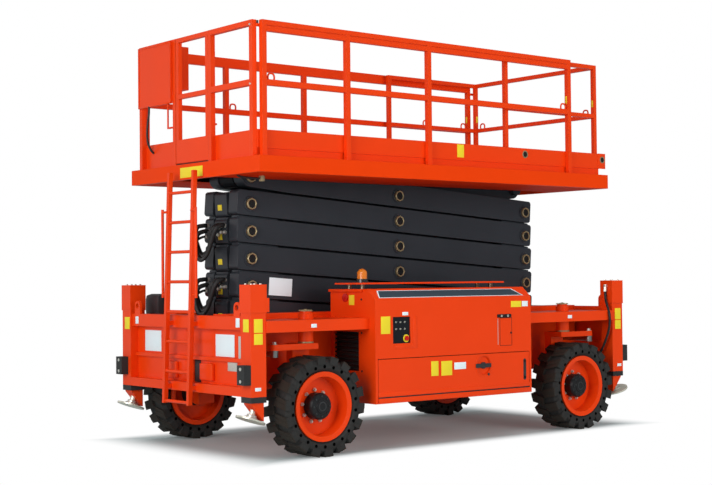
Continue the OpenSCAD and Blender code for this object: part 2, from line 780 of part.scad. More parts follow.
// Deck plate with its edge beam, stringers, upper pivot lug and upper roller track
module deck() {
    lug = 84;
    roller_y0 = inner_half_w + gap;
    roller_w = 60;
    stringer_y0 = 420;
    stringer_y1 = 480;
    stringer_h = 70;
    ribs = 6;
    rib_w = 60;
    rib_h = 60;
    rib_step = (deck_x1 - deck_x0 - 2 * lip_t) / ribs;
    travel = arm_span * roller_travel;
    color(orange) difference() {
        union() {
            difference() {
                block([deck_x0, -deck_y, deck_z - deck_lip], [deck_x1, deck_y, deck_z]);
                block([deck_x0 + lip_t, -deck_y + lip_t, deck_z - deck_lip - 1],
                      [deck_x1 - lip_t, deck_y - lip_t, deck_under]);
            }
            for (sy = [near_side, far_side]) side(sy) {
                block([deck_x0 + lip_t, stringer_y0, deck_under - stringer_h],
                      [deck_x1 - lip_t, stringer_y1, deck_under]);
                for (i = [0 : ribs - 1])
                    translate([deck_x0 + lip_t + (i + 0.5) * rib_step - rib_w / 2, stringer_y1, deck_under - rib_h])
                        cube([rib_w, deck_y - lip_t - stringer_y1, rib_h]);
                block([right_pin_x - travel, roller_y0, top_pin_z + roller_d / 2 + seat],
                      [right_pin_x + lug, roller_y0 + roller_w, deck_under]);
            }
            block([left_pin_x - lug, -lug_half_w, top_pin_z], [left_pin_x + lug, lug_half_w, deck_under]);
            cross_bar(left_pin_x, top_pin_z, 2 * lug, -lug_half_w, lug_half_w);
        }
        cross_bar(left_pin_x, top_pin_z, pin_d + 2 * run, -lug_half_w - 1, lug_half_w + 1);
    }
}

// Folded toe boards along the sides and beside the gate
module toe_boards() {
    step_z = 70;
    step = 10;
    x0 = end_rail_x + rail_post / 2;
    color(orange) {
        for (sy = [near_side, far_side]) side(sy) {
            block([x0, toe_y - toe_t, deck_z + step_z], [deck_x1, toe_y, deck_z + toe_h]);
            block([x0, toe_y - toe_t, deck_z], [deck_x1, toe_y - step, deck_z + step_z]);
        }
        for (span = [[-toe_y + toe_t + 2, gate_y0 - rail_post], [gate_y1 + rail_post, toe_y - toe_t - 2]])
            block([x0, span[0], deck_z], [x0 + toe_t, span[1], deck_z + toe_h]);
    }
}

// Side guard rail: posts outside the toe board, a deep grooved top rail and a knee rail
module side_rail(sy, last_post) {
    half = rail_post / 2;
    posts = concat(side_posts, [last_post]);
    x0 = posts[0] - half;
    x1 = last_post + half;
    groove = 8;
    knee_half = 20;
    color(orange) side(sy) {
        for (x = posts) block([x - half, rail_y - half, deck_z], [x + half, rail_y + half, rail_top - groove]);
        difference() {
            block([x0, rail_y - half, rail_top - rail_top_h], [x1, rail_y + half, rail_top]);
            block([x0 - 1, rail_y + half - groove, rail_top - rail_top_h / 2 - groove / 2],
                  [x1 + 1, rail_y + half + 1, rail_top - rail_top_h / 2 + groove / 2]);
        }
        block([x0, rail_y - knee_half, deck_z + knee_z], [x1, rail_y + knee_half, deck_z + knee_z + knee_h]);
    }
}

// Gate hinge line on the control-side gate post
gate_hinge_out = 18;
gate_hinge_x = end_rail_x + rail_post / 2 + gate_hinge_out;
gate_hinge_y = gate_y0 + gap;
hinge_pin_d = 16;
hinge_eye_d = 28;
hinge_eye_h = 50;
low_hinge_up = 330;
high_hinge_up = 900;
gate_hinges = [deck_z + low_hinge_up, deck_z + high_hinge_up];

// End guard rail beside the gate opening, with the gate's hinge pins
module end_rail() {
    half = rail_post / 2;
    tube = rail_post;
    color(orange) {
        for (y = [-end_post_y, gate_y0 - half, gate_y1 + half, end_post_y])
            block([end_rail_x - half, y - half, deck_z], [end_rail_x + half, y + half, rail_top]);
        for (span = [[-end_post_y, gate_y0 - half], [gate_y1 + half, end_post_y]]) {
            block([end_rail_x - half, span[0], rail_top - tube], [end_rail_x + half, span[1], rail_top]);
            block([end_rail_x - half, span[0], deck_z + knee_z], [end_rail_x + half, span[1], deck_z + knee_z + knee_h]);
        }
        for (z = gate_hinges) {
            block([end_rail_x, gate_y0 - half, z - 15], [gate_hinge_x + hinge_eye_d / 2, gate_hinge_y - seat, z]);
            translate([gate_hinge_x, gate_hinge_y, z - 15]) cylinder(d = hinge_eye_d, h = 15);
            translate([gate_hinge_x, gate_hinge_y, z - 1]) cylinder(d = hinge_pin_d, h = hinge_eye_h + 8);
        }
    }
}

// Entry gate with its toe plate, swinging inwards
module gate() {
    tube = 40;
    x0 = end_rail_x - tube / 2;
    x1 = end_rail_x + tube / 2;
    y0 = gate_y0 + gap;
    y1 = gate_y1 - gap;
    z0 = deck_z + 15;
    color(orange) difference() {
        union() {
            for (y = [y0, y1 - tube]) block([x0, y, z0], [x1, y + tube, rail_top]);
            for (z = [rail_top - tube, deck_z + knee_z]) block([x0, y0, z], [x1, y1, z + tube]);
            block([x0, y0, z0], [x0 + 15, y1, deck_z + toe_h]);
            for (z = gate_hinges) {
                translate([gate_hinge_x, gate_hinge_y, z + seat]) cylinder(d = hinge_eye_d, h = hinge_eye_h);
                block([x1 - 1, y0, z + seat], [gate_hinge_x, y0 + hinge_eye_d / 2, z + seat + hinge_eye_h]);
            }
        }
        for (z = gate_hinges) translate([gate_hinge_x, gate_hinge_y, z - 1])
            cylinder(d = hinge_pin_d + 2 * run, h = hinge_eye_h + 60);
    }
}

// Operator's control box behind its guard plate on the end rail
module deck_control() {
    half = rail_post / 2;
    plate = 20;
    plate_in = 46;
    plate_past = 5;
    plate_up = 558;
    box_up = 130;
    box_depth = 150;
    y0 = gate_y1 + plate_in;
    y1 = end_post_y + plate_past;
    z0 = deck_z + plate_up;
    color(orange) {
        block([end_rail_x - half - plate, y0, z0], [end_rail_x - half, y1, rail_top - 12]);
        block([end_rail_x - half - 1, gate_y1 + rail_post + gap, z0 + box_up],
              [end_rail_x + box_depth, end_post_y - half - gap, rail_top - rail_post - gap]);
    }
}

// Sliding extension floor with its end toe board
module extension_deck() {
    x1 = ext_x1 - ext_tube;
    color(orange) {
        block([x1 - ext_len, -ext_y, ext_floor_z], [ext_x1, ext_y, ext_floor_top]);
        block([x1 - toe_t, -ext_y, ext_floor_top], [x1, ext_y, deck_z + toe_h]);
    }
}

// Guard rails that travel with the extension deck
module extension_rails() {
    x1 = ext_x1;
    x0 = x1 - ext_rail_len;
    knee = deck_z + knee_z;
    top = rail_top - 5;
    color(orange) {
        for (sy = [near_side, far_side]) side(sy) {
            for (x = [x0, x1 - ext_tube])
                block([x, ext_y - ext_tube, ext_floor_top], [x + ext_tube, ext_y, top]);
            for (z = [top - ext_tube, knee]) block([x0, ext_y - ext_tube, z], [x1, ext_y, z + ext_tube]);
        }
        for (z = [top - ext_tube, knee]) block([x1 - ext_tube, -ext_y, z], [x1, ext_y, z + ext_tube]);
    }
}

main_frame();
end_frames();
outrigger_posts();
leg_collars();
bumpers();
kingpin_beams();
hood(near_side);  // hood_near
hood(far_side);  // hood_far
hood_door(near_side);  // hood_door_near
hood_door(far_side);  // hood_door_far
canopies();
beacon();
ground_control();
engine_block();
oil_tank();
ladder();
steering_barrels();
tie_rod(ladder_end);  // tie_rod_ladder_end
tie_rod(deck_end);  // tie_rod_deck_end
knuckle(ladder_end, near_side);  // knuckle_ladder_near
knuckle(ladder_end, far_side);  // knuckle_ladder_far
knuckle(deck_end, near_side);  // knuckle_deck_near
knuckle(deck_end, far_side);  // knuckle_deck_far
rim(ladder_end, near_side);  // rim_ladder_near
rim(ladder_end, far_side);  // rim_ladder_far
rim(deck_end, near_side);  // rim_deck_near
rim(deck_end, far_side);  // rim_deck_far
tyre(ladder_end, near_side);  // tyre_ladder_near
tyre(ladder_end, far_side);  // tyre_ladder_far
tyre(deck_end, near_side);  // tyre_deck_near
tyre(deck_end, far_side);  // tyre_deck_far
leg(ladder_end, near_side);  // leg_ladder_near
leg(ladder_end, far_side);  // leg_ladder_far
leg(deck_end, near_side);  // leg_deck_near
leg(deck_end, far_side);  // leg_deck_far
inner_arm(1);  // inner_arm_1
inner_arm(2);  // inner_arm_2
inner_arm(3);  // inner_arm_3
inner_arm(4);  // inner_arm_4
inner_arm(5);  // inner_arm_5
inner_arm(6);  // inner_arm_6
outer_arm(1);  // outer_arm_1
outer_arm(2);  // outer_arm_2
outer_arm(3);  // outer_arm_3
outer_arm(4);  // outer_arm_4
outer_arm(5);  // outer_arm_5
outer_arm(6);  // outer_arm_6
deck();
toe_boards();
side_rail(near_side, near_last_post);  // side_rail_near
side_rail(far_side, far_last_post);  // side_rail_far
end_rail();
deck_control();
gate();
extension_deck();
extension_rails();
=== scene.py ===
"""Looks of the stowed rough-terrain scissor lift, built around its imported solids."""

import math

import bmesh
import bpy
from mathutils import Matrix, Vector


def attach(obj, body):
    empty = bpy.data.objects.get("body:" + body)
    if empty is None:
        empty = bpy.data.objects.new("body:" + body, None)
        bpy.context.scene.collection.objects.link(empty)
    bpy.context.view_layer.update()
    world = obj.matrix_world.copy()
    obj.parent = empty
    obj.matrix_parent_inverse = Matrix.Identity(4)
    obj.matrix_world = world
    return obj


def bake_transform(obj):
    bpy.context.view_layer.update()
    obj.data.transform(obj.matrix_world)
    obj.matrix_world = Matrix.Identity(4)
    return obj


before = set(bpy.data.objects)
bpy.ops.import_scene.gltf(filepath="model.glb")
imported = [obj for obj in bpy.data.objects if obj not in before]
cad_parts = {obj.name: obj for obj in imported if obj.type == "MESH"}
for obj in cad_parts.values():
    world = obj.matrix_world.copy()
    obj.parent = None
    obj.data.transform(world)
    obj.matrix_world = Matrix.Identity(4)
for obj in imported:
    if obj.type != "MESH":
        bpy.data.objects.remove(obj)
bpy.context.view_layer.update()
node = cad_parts

# Camera: it stands low beside the ladder corner and looks along the control side.
# Its place comes from the straight edges of the photograph.
stand = (-8.7404, -10.3759, 1.4774)
yaw, pitch, roll = math.radians(-39.0), math.radians(1.487), math.radians(-0.5275)
ahead = Vector((-math.sin(yaw) * math.cos(pitch), math.cos(yaw) * math.cos(pitch), math.sin(pitch)))
across = Vector((math.cos(yaw), math.sin(yaw), 0))
upward = across.cross(ahead)
tilted_across = math.cos(roll) * across + math.sin(roll) * upward
tilted_up = math.cos(roll) * upward - math.sin(roll) * across
camera = bpy.data.objects.new("camera", bpy.data.cameras.new("camera"))
camera.data.lens = 71.15
camera.data.sensor_width = 36
facing = Matrix((tilted_across, tilted_up, -ahead)).transposed().to_4x4()
camera.matrix_world = Matrix.Translation(stand) @ facing
bpy.context.scene.collection.objects.link(camera)
bpy.context.scene.camera = camera
bpy.context.scene.view_settings.view_transform = "Standard"

# Studio: a large soft lamp at the ladder corner, one on the control side that gives no gloss,
# one high over the raised deck, one that only puts a sheen on the ladder end, and a pale surround.
aim = Vector((0, 0, 1.4))
for name, place, size, power, matt, gloss in (("key_lamp", (-11, -4, 4), 6, 720, True, True),
                                              ("side_lamp", (2, -11, 3), 6, 545, True, False),
                                              ("top_lamp", (0, 0, 26), 21, 2800, True, True),
                                              ("sheen_lamp", (-8, 10.5, 2.5), 8, 130, False, True)):
    lamp = bpy.data.objects.new(name, bpy.data.lights.new(name, "AREA"))
    lamp.data.size = size
    lamp.data.energy = power
    lamp.location = place
    lamp.rotation_euler = (aim - Vector(place)).to_track_quat("-Z", "Y").to_euler()
    lamp.visible_diffuse = matt
    lamp.visible_glossy = gloss
    bpy.context.scene.collection.objects.link(lamp)


def plug(tree, part, inputs):
    """Give each input of a shader node its value, or join it to the outlet of another node."""
    for key, value in inputs.items():
        if isinstance(value, bpy.types.NodeSocket):
            tree.links.new(value, part.inputs[key])
        else:
            part.inputs[key].default_value = value


def add(tree, kind, inputs, outlet=0, **settings):
    """New shader node with its settings and inputs; hands back one outlet."""
    part = tree.nodes.new("ShaderNode" + kind)
    for key, value in settings.items():
        setattr(part, key, value)
    plug(tree, part, inputs)
    return part.outputs[outlet] if part.outputs else None


world = bpy.data.worlds.new("studio")
bpy.context.scene.world = world
world.use_nodes = True
sky = world.node_tree
sky.nodes.clear()
rays = add(sky, "LightPath", {}).node.outputs
any_ray = add(sky, "Math", {0: rays["Is Camera Ray"], 1: rays["Is Transmission Ray"]}, operation="MAXIMUM")
lit = add(sky, "Background", {"Color": (0.95, 0.97, 1, 1), "Strength": 0.28})
seen = add(sky, "Background", {"Color": (1, 1, 1, 1)})
add(sky, "OutputWorld", {0: add(sky, "MixShader", {0: any_ray, 1: lit, 2: seen})})

# Floor: a plain white sheet with a painted shadow under the machine: inside a soft box the grey floor shows,
# with its real shading and a little white; the painted shadow fades softly at its edges.
floor_half = 40
floor_mesh = bpy.data.meshes.new("floor")
floor_corners = [(sx * floor_half, sy * floor_half, 0) for sx, sy in ((-1, -1), (1, -1), (1, 1), (-1, 1))]
floor_mesh.from_pydata(floor_corners, [], [(0, 1, 2, 3)])
floor = bpy.data.objects.new("floor", floor_mesh)
bpy.context.scene.collection.objects.link(floor)
pale = bpy.data.materials.new("pale_floor")
pale.use_nodes = True
tree = pale.node_tree
tree.nodes.clear()
where = add(tree, "NewGeometry", {}, "Position")
from_middle = add(tree, "VectorMath", {0: where, 1: (0.1, 0.12, 0)}, operation="SUBTRACT")
apart = add(tree, "VectorMath", {0: from_middle}, operation="ABSOLUTE")
sides = add(tree, "SeparateXYZ", {0: apart}).node.outputs
# Painted shadow box: camera rays see white emission outside it and the grey floor inside it.
shadow_fades = [add(tree, "MapRange", {"From Min": near, "From Max": far, "To Min": 0.07, "Value": sides[axis]},
             interpolation_type="SMOOTHSTEP") for axis, near, far in (("X", 2.0, 2.6), ("Y", 1.05, 1.4))]
beyond_painted_shadow = add(tree, "Math", {0: shadow_fades[0], 1: shadow_fades[1]}, operation="MAXIMUM")
eye = add(tree, "LightPath", {}, "Is Camera Ray")
faded = add(tree, "Math", {0: beyond_painted_shadow, 1: eye}, operation="MULTIPLY")
grey = add(tree, "BsdfDiffuse", {"Color": (0.54, 0.63, 0.635, 1)})
white = add(tree, "Emission", {})
add(tree, "OutputMaterial", {0: add(tree, "MixShader", {0: faded, 1: grey, 2: white})})
floor_mesh.materials.append(pale)

# Chassis: welded box beams, end frames and the beams over the wheels.
# They are sprayed in a glossy orange-red, painted a little lighter along the sheet edges as wear and painted
# highlight.
corners = [("%s_%s" % (end, flank), sx, sy) for end, sx in (("ladder", -1), ("deck", 1))
           for flank, sy in (("near", -1), ("far", 1))]
kingpin_x, kingpin_y = 1.583, 0.85


def blank(name, inputs):
    """New finish with its node tree and its surface."""
    mat = bpy.data.materials.new(name)
    mat.use_nodes = True
    skin = mat.node_tree.nodes["Principled BSDF"]
    plug(mat.node_tree, skin, inputs)
    return mat, mat.node_tree, skin


def grain(t, scale, detail=2):
    """Cloudy pattern that stays fixed on the piece."""
    place = add(t, "TexCoord", {}, "Object")
    return add(t, "TexNoise", {"Scale": scale, "Detail": detail, "Vector": place}, "Fac")


def two_tone(t, colour, dark, light, pattern):
    """Colour that wanders between a darker and a lighter shade."""
    low, high = [(*[min(1, c * share) for c in colour], 1) for share in (dark, light)]
    return add(t, "Mix", {"A": low, "B": high, "Factor": pattern}, "Result", data_type="RGBA")


def paint(name, colour, edge_wear_and_highlight, rough, coat=0.03, edge=0.005, mottle=0.05):
    """Sprayed steel: slightly uneven colour, faint orange peel, rounded edges painted lighter as wear and
    highlight.
    """
    mat, t, skin = blank(name, {"Specular IOR Level": 0.16, "Coat Weight": coat, "Coat Roughness": 0.12})
    cloud = grain(t, scale=3.1, detail=5)
    soft = add(t, "Bevel", {"Radius": edge}, "Normal", samples=4)
    flat = add(t, "NewGeometry", {}, "Normal")
    match = add(t, "VectorMath", {0: soft, 1: flat}, "Value", operation="DOT_PRODUCT")
    # Edges get a lighter colour: partly paint wear, partly a painted highlight.
    rim = add(t, "MapRange", {"From Min": 0.97, "From Max": 0.75, "Value": match})
    wear_and_highlight = add(t, "Math", {0: rim, 1: grain(t, scale=38, detail=3)}, operation="MULTIPLY")
    body = add(t, "Mix", {"A": two_tone(t, colour, 1 - mottle, 1 + mottle, cloud), "B": (*edge_wear_and_highlight, 1),
                          "Factor": wear_and_highlight}, "Result", data_type="RGBA")
    gloss = add(t, "MapRange", {"To Min": rough - 0.06, "To Max": rough + 0.08, "Value": cloud})
    peel = grain(t, scale=160)
    ripple = add(t, "Bump", {"Strength": 0.05, "Distance": 0.002, "Height": peel, "Normal": soft})
    plug(t, skin, {"Base Color": body, "Roughness": gloss, "Normal": ripple})
    return mat


def orange_coat(name, rough=0.34):
    """The machine's orange-red; pieces with marked-off areas have a coat of their own."""
    return paint(name, (0.82, 0.05, 0.003), (0.9, 0.12, 0.03), rough)


def coat_nodes(mat, *names):
    """Give solids of the frame their finish."""
    for name in names:
        node[name].data.materials.clear()
        node[name].data.materials.append(mat)


orange = orange_coat("orange_paint")
coat_nodes(orange, "main_frame", "end_frames", "kingpin_beams", "outrigger_posts")


def box(bm, lo, hi, ease=0.002):
    """Sheet or bar between two corners with eased edges."""
    made = bmesh.ops.create_cube(bm, size=1)["verts"]
    size = [h - l for l, h in zip(lo, hi)]
    for v in made:
        v.co = Vector([l + (c + 0.5) * s for l, c, s in zip(lo, v.co, size)])
    edges = list(dict.fromkeys(e for v in made for e in v.link_edges))
    ease = min(ease, min(size) * 0.4)
    bmesh.ops.bevel(bm, geom=edges, offset=ease, segments=2, affect="EDGES", profile=0.6)


def turned(bm, centre, axis, section, sides):
    """Rounds of points about an axis, one for each radius and height of a section."""
    spin = Vector((0, 0, 1)).rotation_difference(Vector(axis)).to_matrix()
    angles = [2 * math.pi * i / sides for i in range(sides)]
    loops = []
    for r, h in section:
        around = [Vector((r * math.cos(a), r * math.sin(a), h)) for a in angles]
        loops.append([bm.verts.new(Vector(centre) + spin @ point) for point in around])
    return loops


def skin_over(bm, loops):
    """Faces from each round of points to the next."""
    for low, high in zip(loops, loops[1:]):
        for i in range(len(low)):
            j = (i + 1) % len(low)
            bm.faces.new((low[i], low[j], high[j], high[i]))


def stud(bm, centre, axis, radius, length, sides=20, ease=0.15):
    """Round bar from a centre outwards along an axis, with an eased outer rim."""
    section = [(radius, 0), (radius, length * (1 - ease)), (radius * (1 - ease), length)]
    loops = turned(bm, centre, axis, section, sides)
    skin_over(bm, loops)
    bm.faces.new(loops[-1])
    bm.faces.new(loops[0][::-1])


def ring(bm, centre, axis, inner, outer, length, sides=36):
    """Turned ring from a centre outwards along an axis."""
    ease = min(length, outer - inner) * 0.25
    section = [(inner, 0), (outer, 0), (outer, length - ease), (outer - ease, length),
               (inner + ease, length), (inner, length - ease)]
    loops = turned(bm, centre, axis, section, sides)
    skin_over(bm, loops + loops[:1])


def make(name, bm, mat, body):
    """Close a piece: give it its mesh, finish and the body that carries it."""
    bmesh.ops.recalc_face_normals(bm, faces=bm.faces)
    mesh = bpy.data.meshes.new(name)
    bm.to_mesh(mesh)
    bm.free()
    mesh.materials.append(mat)
    for face in mesh.polygons:
        face.use_smooth = len(face.vertices) == 4
    mesh.set_sharp_from_angle(angle=math.radians(35))
    piece = bpy.data.objects.new(name, mesh)
    bpy.context.scene.collection.objects.link(piece)
    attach(piece, body)


def metal(name, colour, rough, metallic=1.0):
    """Plated or bare metal with fine uneven polish."""
    mat, t, skin = blank(name, {"Metallic": metallic})
    fine = grain(t, scale=90, detail=4)
    polish = add(t, "MapRange", {"To Min": rough - 0.1, "To Max": rough + 0.12, "Value": fine})
    plug(t, skin, {"Base Color": two_tone(t, colour, 0.8, 1.15, fine), "Roughness": polish})
    return mat


zinc = metal("zinc_plate", (0.7, 0.68, 0.61), 0.38, 0.75)
brass = metal("yellow_zinc", (0.46, 0.36, 0.2), 0.42, 0.7)
flange_z, bolt_z, bolt_ring, thrust_z = 1.2102, 1.2162, 0.046, 0.942
bm = bmesh.new()
for corner, sx, sy in corners:
    for i in range(6):
        a = math.radians(60 * i + 15)
        stud(bm, (sx * kingpin_x + bolt_ring * math.cos(a), sy * kingpin_y + bolt_ring * math.sin(a), bolt_z),
             (0, 0, 1), 0.009, 0.006, 6)
    stud(bm, (sx * kingpin_x, sy * kingpin_y, flange_z), (0, 0, 1), 0.062, 0.006, 32)
    stud(bm, (sx * kingpin_x, sy * kingpin_y, bolt_z), (0, 0, 1), 0.014, 0.012, 12)
make("kingpin_cap_bolts", bm, brass, "chassis")
bm = bmesh.new()
for corner, sx, sy in corners:
    ring(bm, (sx * kingpin_x, sy * kingpin_y, thrust_z), (0, 0, 1), 0.0592, 0.067, 0.0125)
make("kingpin_thrust_rings", bm, brass, "chassis")

# Ladder end frame: the recessed panel carries bare data plates of several sizes,
# and the posts beside it carry bare yellow ones.
plate_grey = paint("bare_plate", (0.5, 0.5, 0.48), (0.7, 0.7, 0.68), 0.4, edge=0.001)
plate_white = paint("white_plate", (0.76, 0.85, 0.88), (0.9, 0.9, 0.9), 0.4, edge=0.001)
plate_yellow = paint("yellow_plate", (0.84, 0.66, 0.03), (0.9, 0.75, 0.15), 0.4, edge=0.001)
panel_x, frame_x, post_end_x, post_side_y = -2.1903, -2.2502, -2.2702, -1.0302


def sheets(name, mat, body, rows):
    """Flat sheets or bars of one finish, each between two corners."""
    bm = bmesh.new()
    for lo, hi in rows:
        box(bm, lo, hi)
    make(name, bm, mat, body)


def on_end(face, y0, y1, z0, z1, thick=0.0036):
    """Corners of a plate on a face towards the ladder end."""
    return (face - thick, y0, z0), (face, y1, z1)


def on_side(face, x0, x1, z0, z1, thick=0.0036):
    """Corners of a plate on a face towards the control side."""
    return (x0, face - thick, z0), (x1, face, z1)


sheets("end_frame_plates", plate_white, "chassis",
       [on_end(panel_x, 0.48, 0.755, 0.848, 1.035, 0.0037),
        on_end(panel_x, -0.68, -0.40, 0.838, 1.025, 0.0037),
        on_end(frame_x, -0.845, -0.79, 1.09, 1.166), on_end(frame_x, 0.775, 0.825, 1.092, 1.158)])
sheets("end_frame_strip", plate_grey, "chassis", [on_end(panel_x, -0.78, -0.74, 0.83, 1.015, 0.0037)])
rows = [on_end(post_end_x, 0.90, 0.985, 1.04, 1.15), on_end(post_end_x, -1.005, -0.925, 1.056, 1.16)]
for x in (-2.24, 2.156):
    rows.append(on_side(post_side_y, x, x + 0.085, 1.05, 1.161))
    rows.append(on_side(post_side_y, x, x + 0.085, 0.953, 1.042))
sheets("post_plates_yellow", plate_yellow, "chassis", rows)
sheets("post_plates_white", plate_white, "chassis",
       [on_side(post_side_y, x, x + 0.058, 0.579, 0.607) for x in (-2.232, 2.184)])

# Outrigger posts: square tubes with bolted heads, black guide collars and rubber blocks.
# Between them, covers close the lower panel up to one dark gap beside the ladder; a black sheet right behind
# it is painted shade.
post_x, post_y, post_head_z = 2.195, 0.958, 1.4402
head_bolt_x, head_bolt_y = 0.045, 0.042
bumper_x, bumper_y = 2.3402, 0.98


def rubber(name, colour, rough=0.7, fineness=120, depth=0.0015):
    """Moulded rubber or plastic with a fine matt grain and a little dust."""
    mat, t, skin = blank(name, {"Roughness": rough})
    soft = add(t, "Bevel", {"Radius": 0.005}, "Normal", samples=4)
    fine = grain(t, scale=fineness)
    bump = add(t, "Bump", {"Strength": 0.25, "Distance": depth, "Height": fine, "Normal": soft})
    dust = grain(t, scale=7, detail=6)
    plug(t, skin, {"Base Color": two_tone(t, colour, 0.75, 1.5, dust), "Normal": bump})
    return mat


black_rubber = rubber("black_rubber", (0.018, 0.018, 0.018))
black_plastic = rubber("black_plastic", (0.022, 0.022, 0.024), 0.45, 220, 0.0008)
coat_nodes(black_rubber, "leg_collars", "bumpers")
bm = bmesh.new()
for corner, sx, sy in corners:
    for dx in (-head_bolt_x, head_bolt_x):
        for dy in (-head_bolt_y, head_bolt_y):
            stud(bm, (sx * post_x + dx, sy * post_y + dy, post_head_z), (0, 0, 1), 0.011, 0.009, 6)
make("post_head_bolts", bm, zinc, "chassis")
bm = bmesh.new()
for corner, sx, sy in corners:
    for z in (0.66, 0.76):
        stud(bm, (sx * bumper_x, sy * bumper_y, z), (sx, 0, 0), 0.014, 0.004, 12)
make("bumper_screws", bm, zinc, "chassis")
sheets("end_frame_zinc_plate", zinc, "chassis",
       [on_end(panel_x, -0.722, -0.582, 0.722, 0.796, 0.0057)])
gap_y, gap_z0, gap_z1 = 0.2995, 0.6055, 0.8005
slit_y0, slit_y1, sheet_x0, sheet_x1 = -0.165, -0.04, -2.19, -2.1712
bm = bmesh.new()
# Thin black sheet behind the covers' slit: painted shade for the dark inside of the gap.
box(bm, (-2.171, -gap_y, gap_z0), (-2.1695, gap_y, gap_z1), 0.0005)
box(bm, (-2.06, 0.76, 1.1422), (-1.93, 1.0, 1.358), 0.05)
make("end_frame_black_parts", bm, black_plastic, "chassis")
bm = bmesh.new()
box(bm, (sheet_x0, -gap_y, gap_z0), (sheet_x1, slit_y0, gap_z1))
box(bm, (sheet_x0, slit_y1, gap_z0), (sheet_x1, gap_y, gap_z1))
for y in (-0.385, 0.185):
    box(bm, (-2.222, y, 0.63), (panel_x, y + 0.2, 0.775), 0.012)
box(bm, (-2.1138, -1.036, 1.215), (-2.088, -0.97, 1.33), 0.003)
make("end_frame_covers", bm, orange, "chassis")

# Outrigger legs: painted square tubes; the tilting pad and its ball stud are zinc plated.
# The pad and stud are told from the tube by the slanting cut across the leg's foot.
cut_slant, pad_lean = math.radians(50), math.radians(20)
cut_x, cut_z, pad_x, pad_z = 2.136, 0.33, 2.23, 0.342


def overlay(mat, mask, colour):
    """Lay another colour over a finish where a mask is one."""
    t = mat.node_tree
    base = t.nodes["Principled BSDF"].inputs["Base Color"]
    mixed = add(t, "Mix", {"A": base.links[0].from_socket, "B": (*colour, 1), "Factor": mask}, "Result",
                data_type="RGBA")
    t.links.new(mixed, base)


def mirrored(t, centre):
    """Place from a centre on the folded machine, where both ends and both sides fall together."""
    spot = add(t, "TexCoord", {}, "Object")
    fold = add(t, "VectorMath", {0: spot}, operation="ABSOLUTE")
    return add(t, "VectorMath", {0: fold, 1: centre}, operation="SUBTRACT")


leg_paint = orange_coat("leg_paint")
t = leg_paint.node_tree
cut_normal = Vector((-math.sin(cut_slant), 0, math.cos(cut_slant)))
cut_rise = Vector((cut_x, 0, cut_z)).dot(cut_normal) - 0.0008
rise = add(t, "VectorMath", {0: mirrored(t, (0, 0, 0)), 1: cut_normal}, "Value", operation="DOT_PRODUCT")
pad_mask = add(t, "Math", {0: rise, 1: cut_rise}, operation="LESS_THAN")
overlay(leg_paint, pad_mask, (0.75, 0.72, 0.6))
plated = add(t, "Math", {0: pad_mask, 1: 0.6}, operation="MULTIPLY")
plug(t, t.nodes["Principled BSDF"], {"Metallic": plated})
for corner, sx, sy in corners:
    bm = bmesh.new()
    lean = Vector((-sx * math.sin(pad_lean), 0, math.cos(pad_lean)))
    seat = Vector((sx * pad_x, sy * post_y, pad_z)) + lean * 0.0073
    ring(bm, seat, lean, 0.0252, 0.058, 0.018)
    ring(bm, seat + lean * 0.0182, lean, 0.0252, 0.042, 0.02)
    make("pad_boss_" + corner, bm, zinc, "leg_" + corner)
    coat_nodes(leg_paint, "leg_" + corner)

# Steering: welded knuckles in the same paint turn on the kingpins.
# Black double-ended cylinders push their arms with bright ground rods.
coat_nodes(orange, *["knuckle_" + corner for corner, sx, sy in corners])
dark_paint = paint("dark_paint", (0.022, 0.022, 0.024), (0.1, 0.1, 0.1), 0.4)
coat_nodes(dark_paint, "steering_barrels", "engine_block", "oil_tank")
chrome = metal("ground_rod", (0.35, 0.34, 0.33), 0.3)
coat_nodes(chrome, "tie_rod_ladder_end", "tie_rod_deck_end")

# Wheels: solid black tyres with holes through the sidewall painted on as near-black shade with a bump dent,
# on deep orange rims.
# The hub motor's cover is black, with a ring of bright wheel bolts round it.
axle_z, wheel_y = 0.42, 0.965
rim_face_y, hub_face_y, hub_cap_y = 0.9652, 1.0665, 1.0755
eye_x, eye_y, eye_z, washer = 1.933, 0.88, 0.9402, 0.005
hole_count, hole_ring = 22, 0.332
lug_count, lug_foot, lug_top, first_lug = 18, 0.352, 0.4165, 95.465
lug_outline = ((-0.005, 0.1513), (-0.044, 0.1513), (-0.078, 0.01), (-0.039, 0.009))


def from_axle(t):
    """Place from the nearest wheel's centre, and the distance from its axle line."""
    hub = mirrored(t, (kingpin_x, 0, axle_z))
    flat = add(t, "VectorMath", {0: hub, 1: (1, 0, 1)}, operation="MULTIPLY")
    return hub, add(t, "VectorMath", {0: flat}, "Value", operation="LENGTH")


tyre_rubber = rubber("tyre_rubber", (0.026, 0.025, 0.024), 0.72, 90, 0.003)
t = tyre_rubber.node_tree
hub, radius = from_axle(t)
parts = add(t, "SeparateXYZ", {0: hub}).node.outputs
turn = add(t, "Math", {0: parts["Z"], 1: parts["X"]}, operation="ARCTAN2")
count = add(t, "Math", {0: turn, 1: hole_count / (2 * math.pi)}, operation="MULTIPLY")
wave = add(t, "Math", {0: count}, operation="FRACT")
centred = add(t, "Math", {0: wave, 1: 0.5}, operation="SUBTRACT")
arc = add(t, "Math", {0: centred, 1: 2 * math.pi * hole_ring / hole_count}, operation="MULTIPLY")
out_by = add(t, "Math", {0: radius, 1: hole_ring}, operation="SUBTRACT")
span = add(t, "VectorMath", {0: add(t, "CombineXYZ", {"X": arc, "Y": out_by})}, "Value", operation="LENGTH")
hole = add(t, "MapRange", {"From Min": 0.0125, "From Max": 0.0155, "To Min": 1, "To Max": 0, "Value": span})
tread = add(t, "MapRange", {"From Min": 0.396, "From Max": 0.416, "Value": radius})
overlay(tyre_rubber, tread, (0.028, 0.022, 0.017))
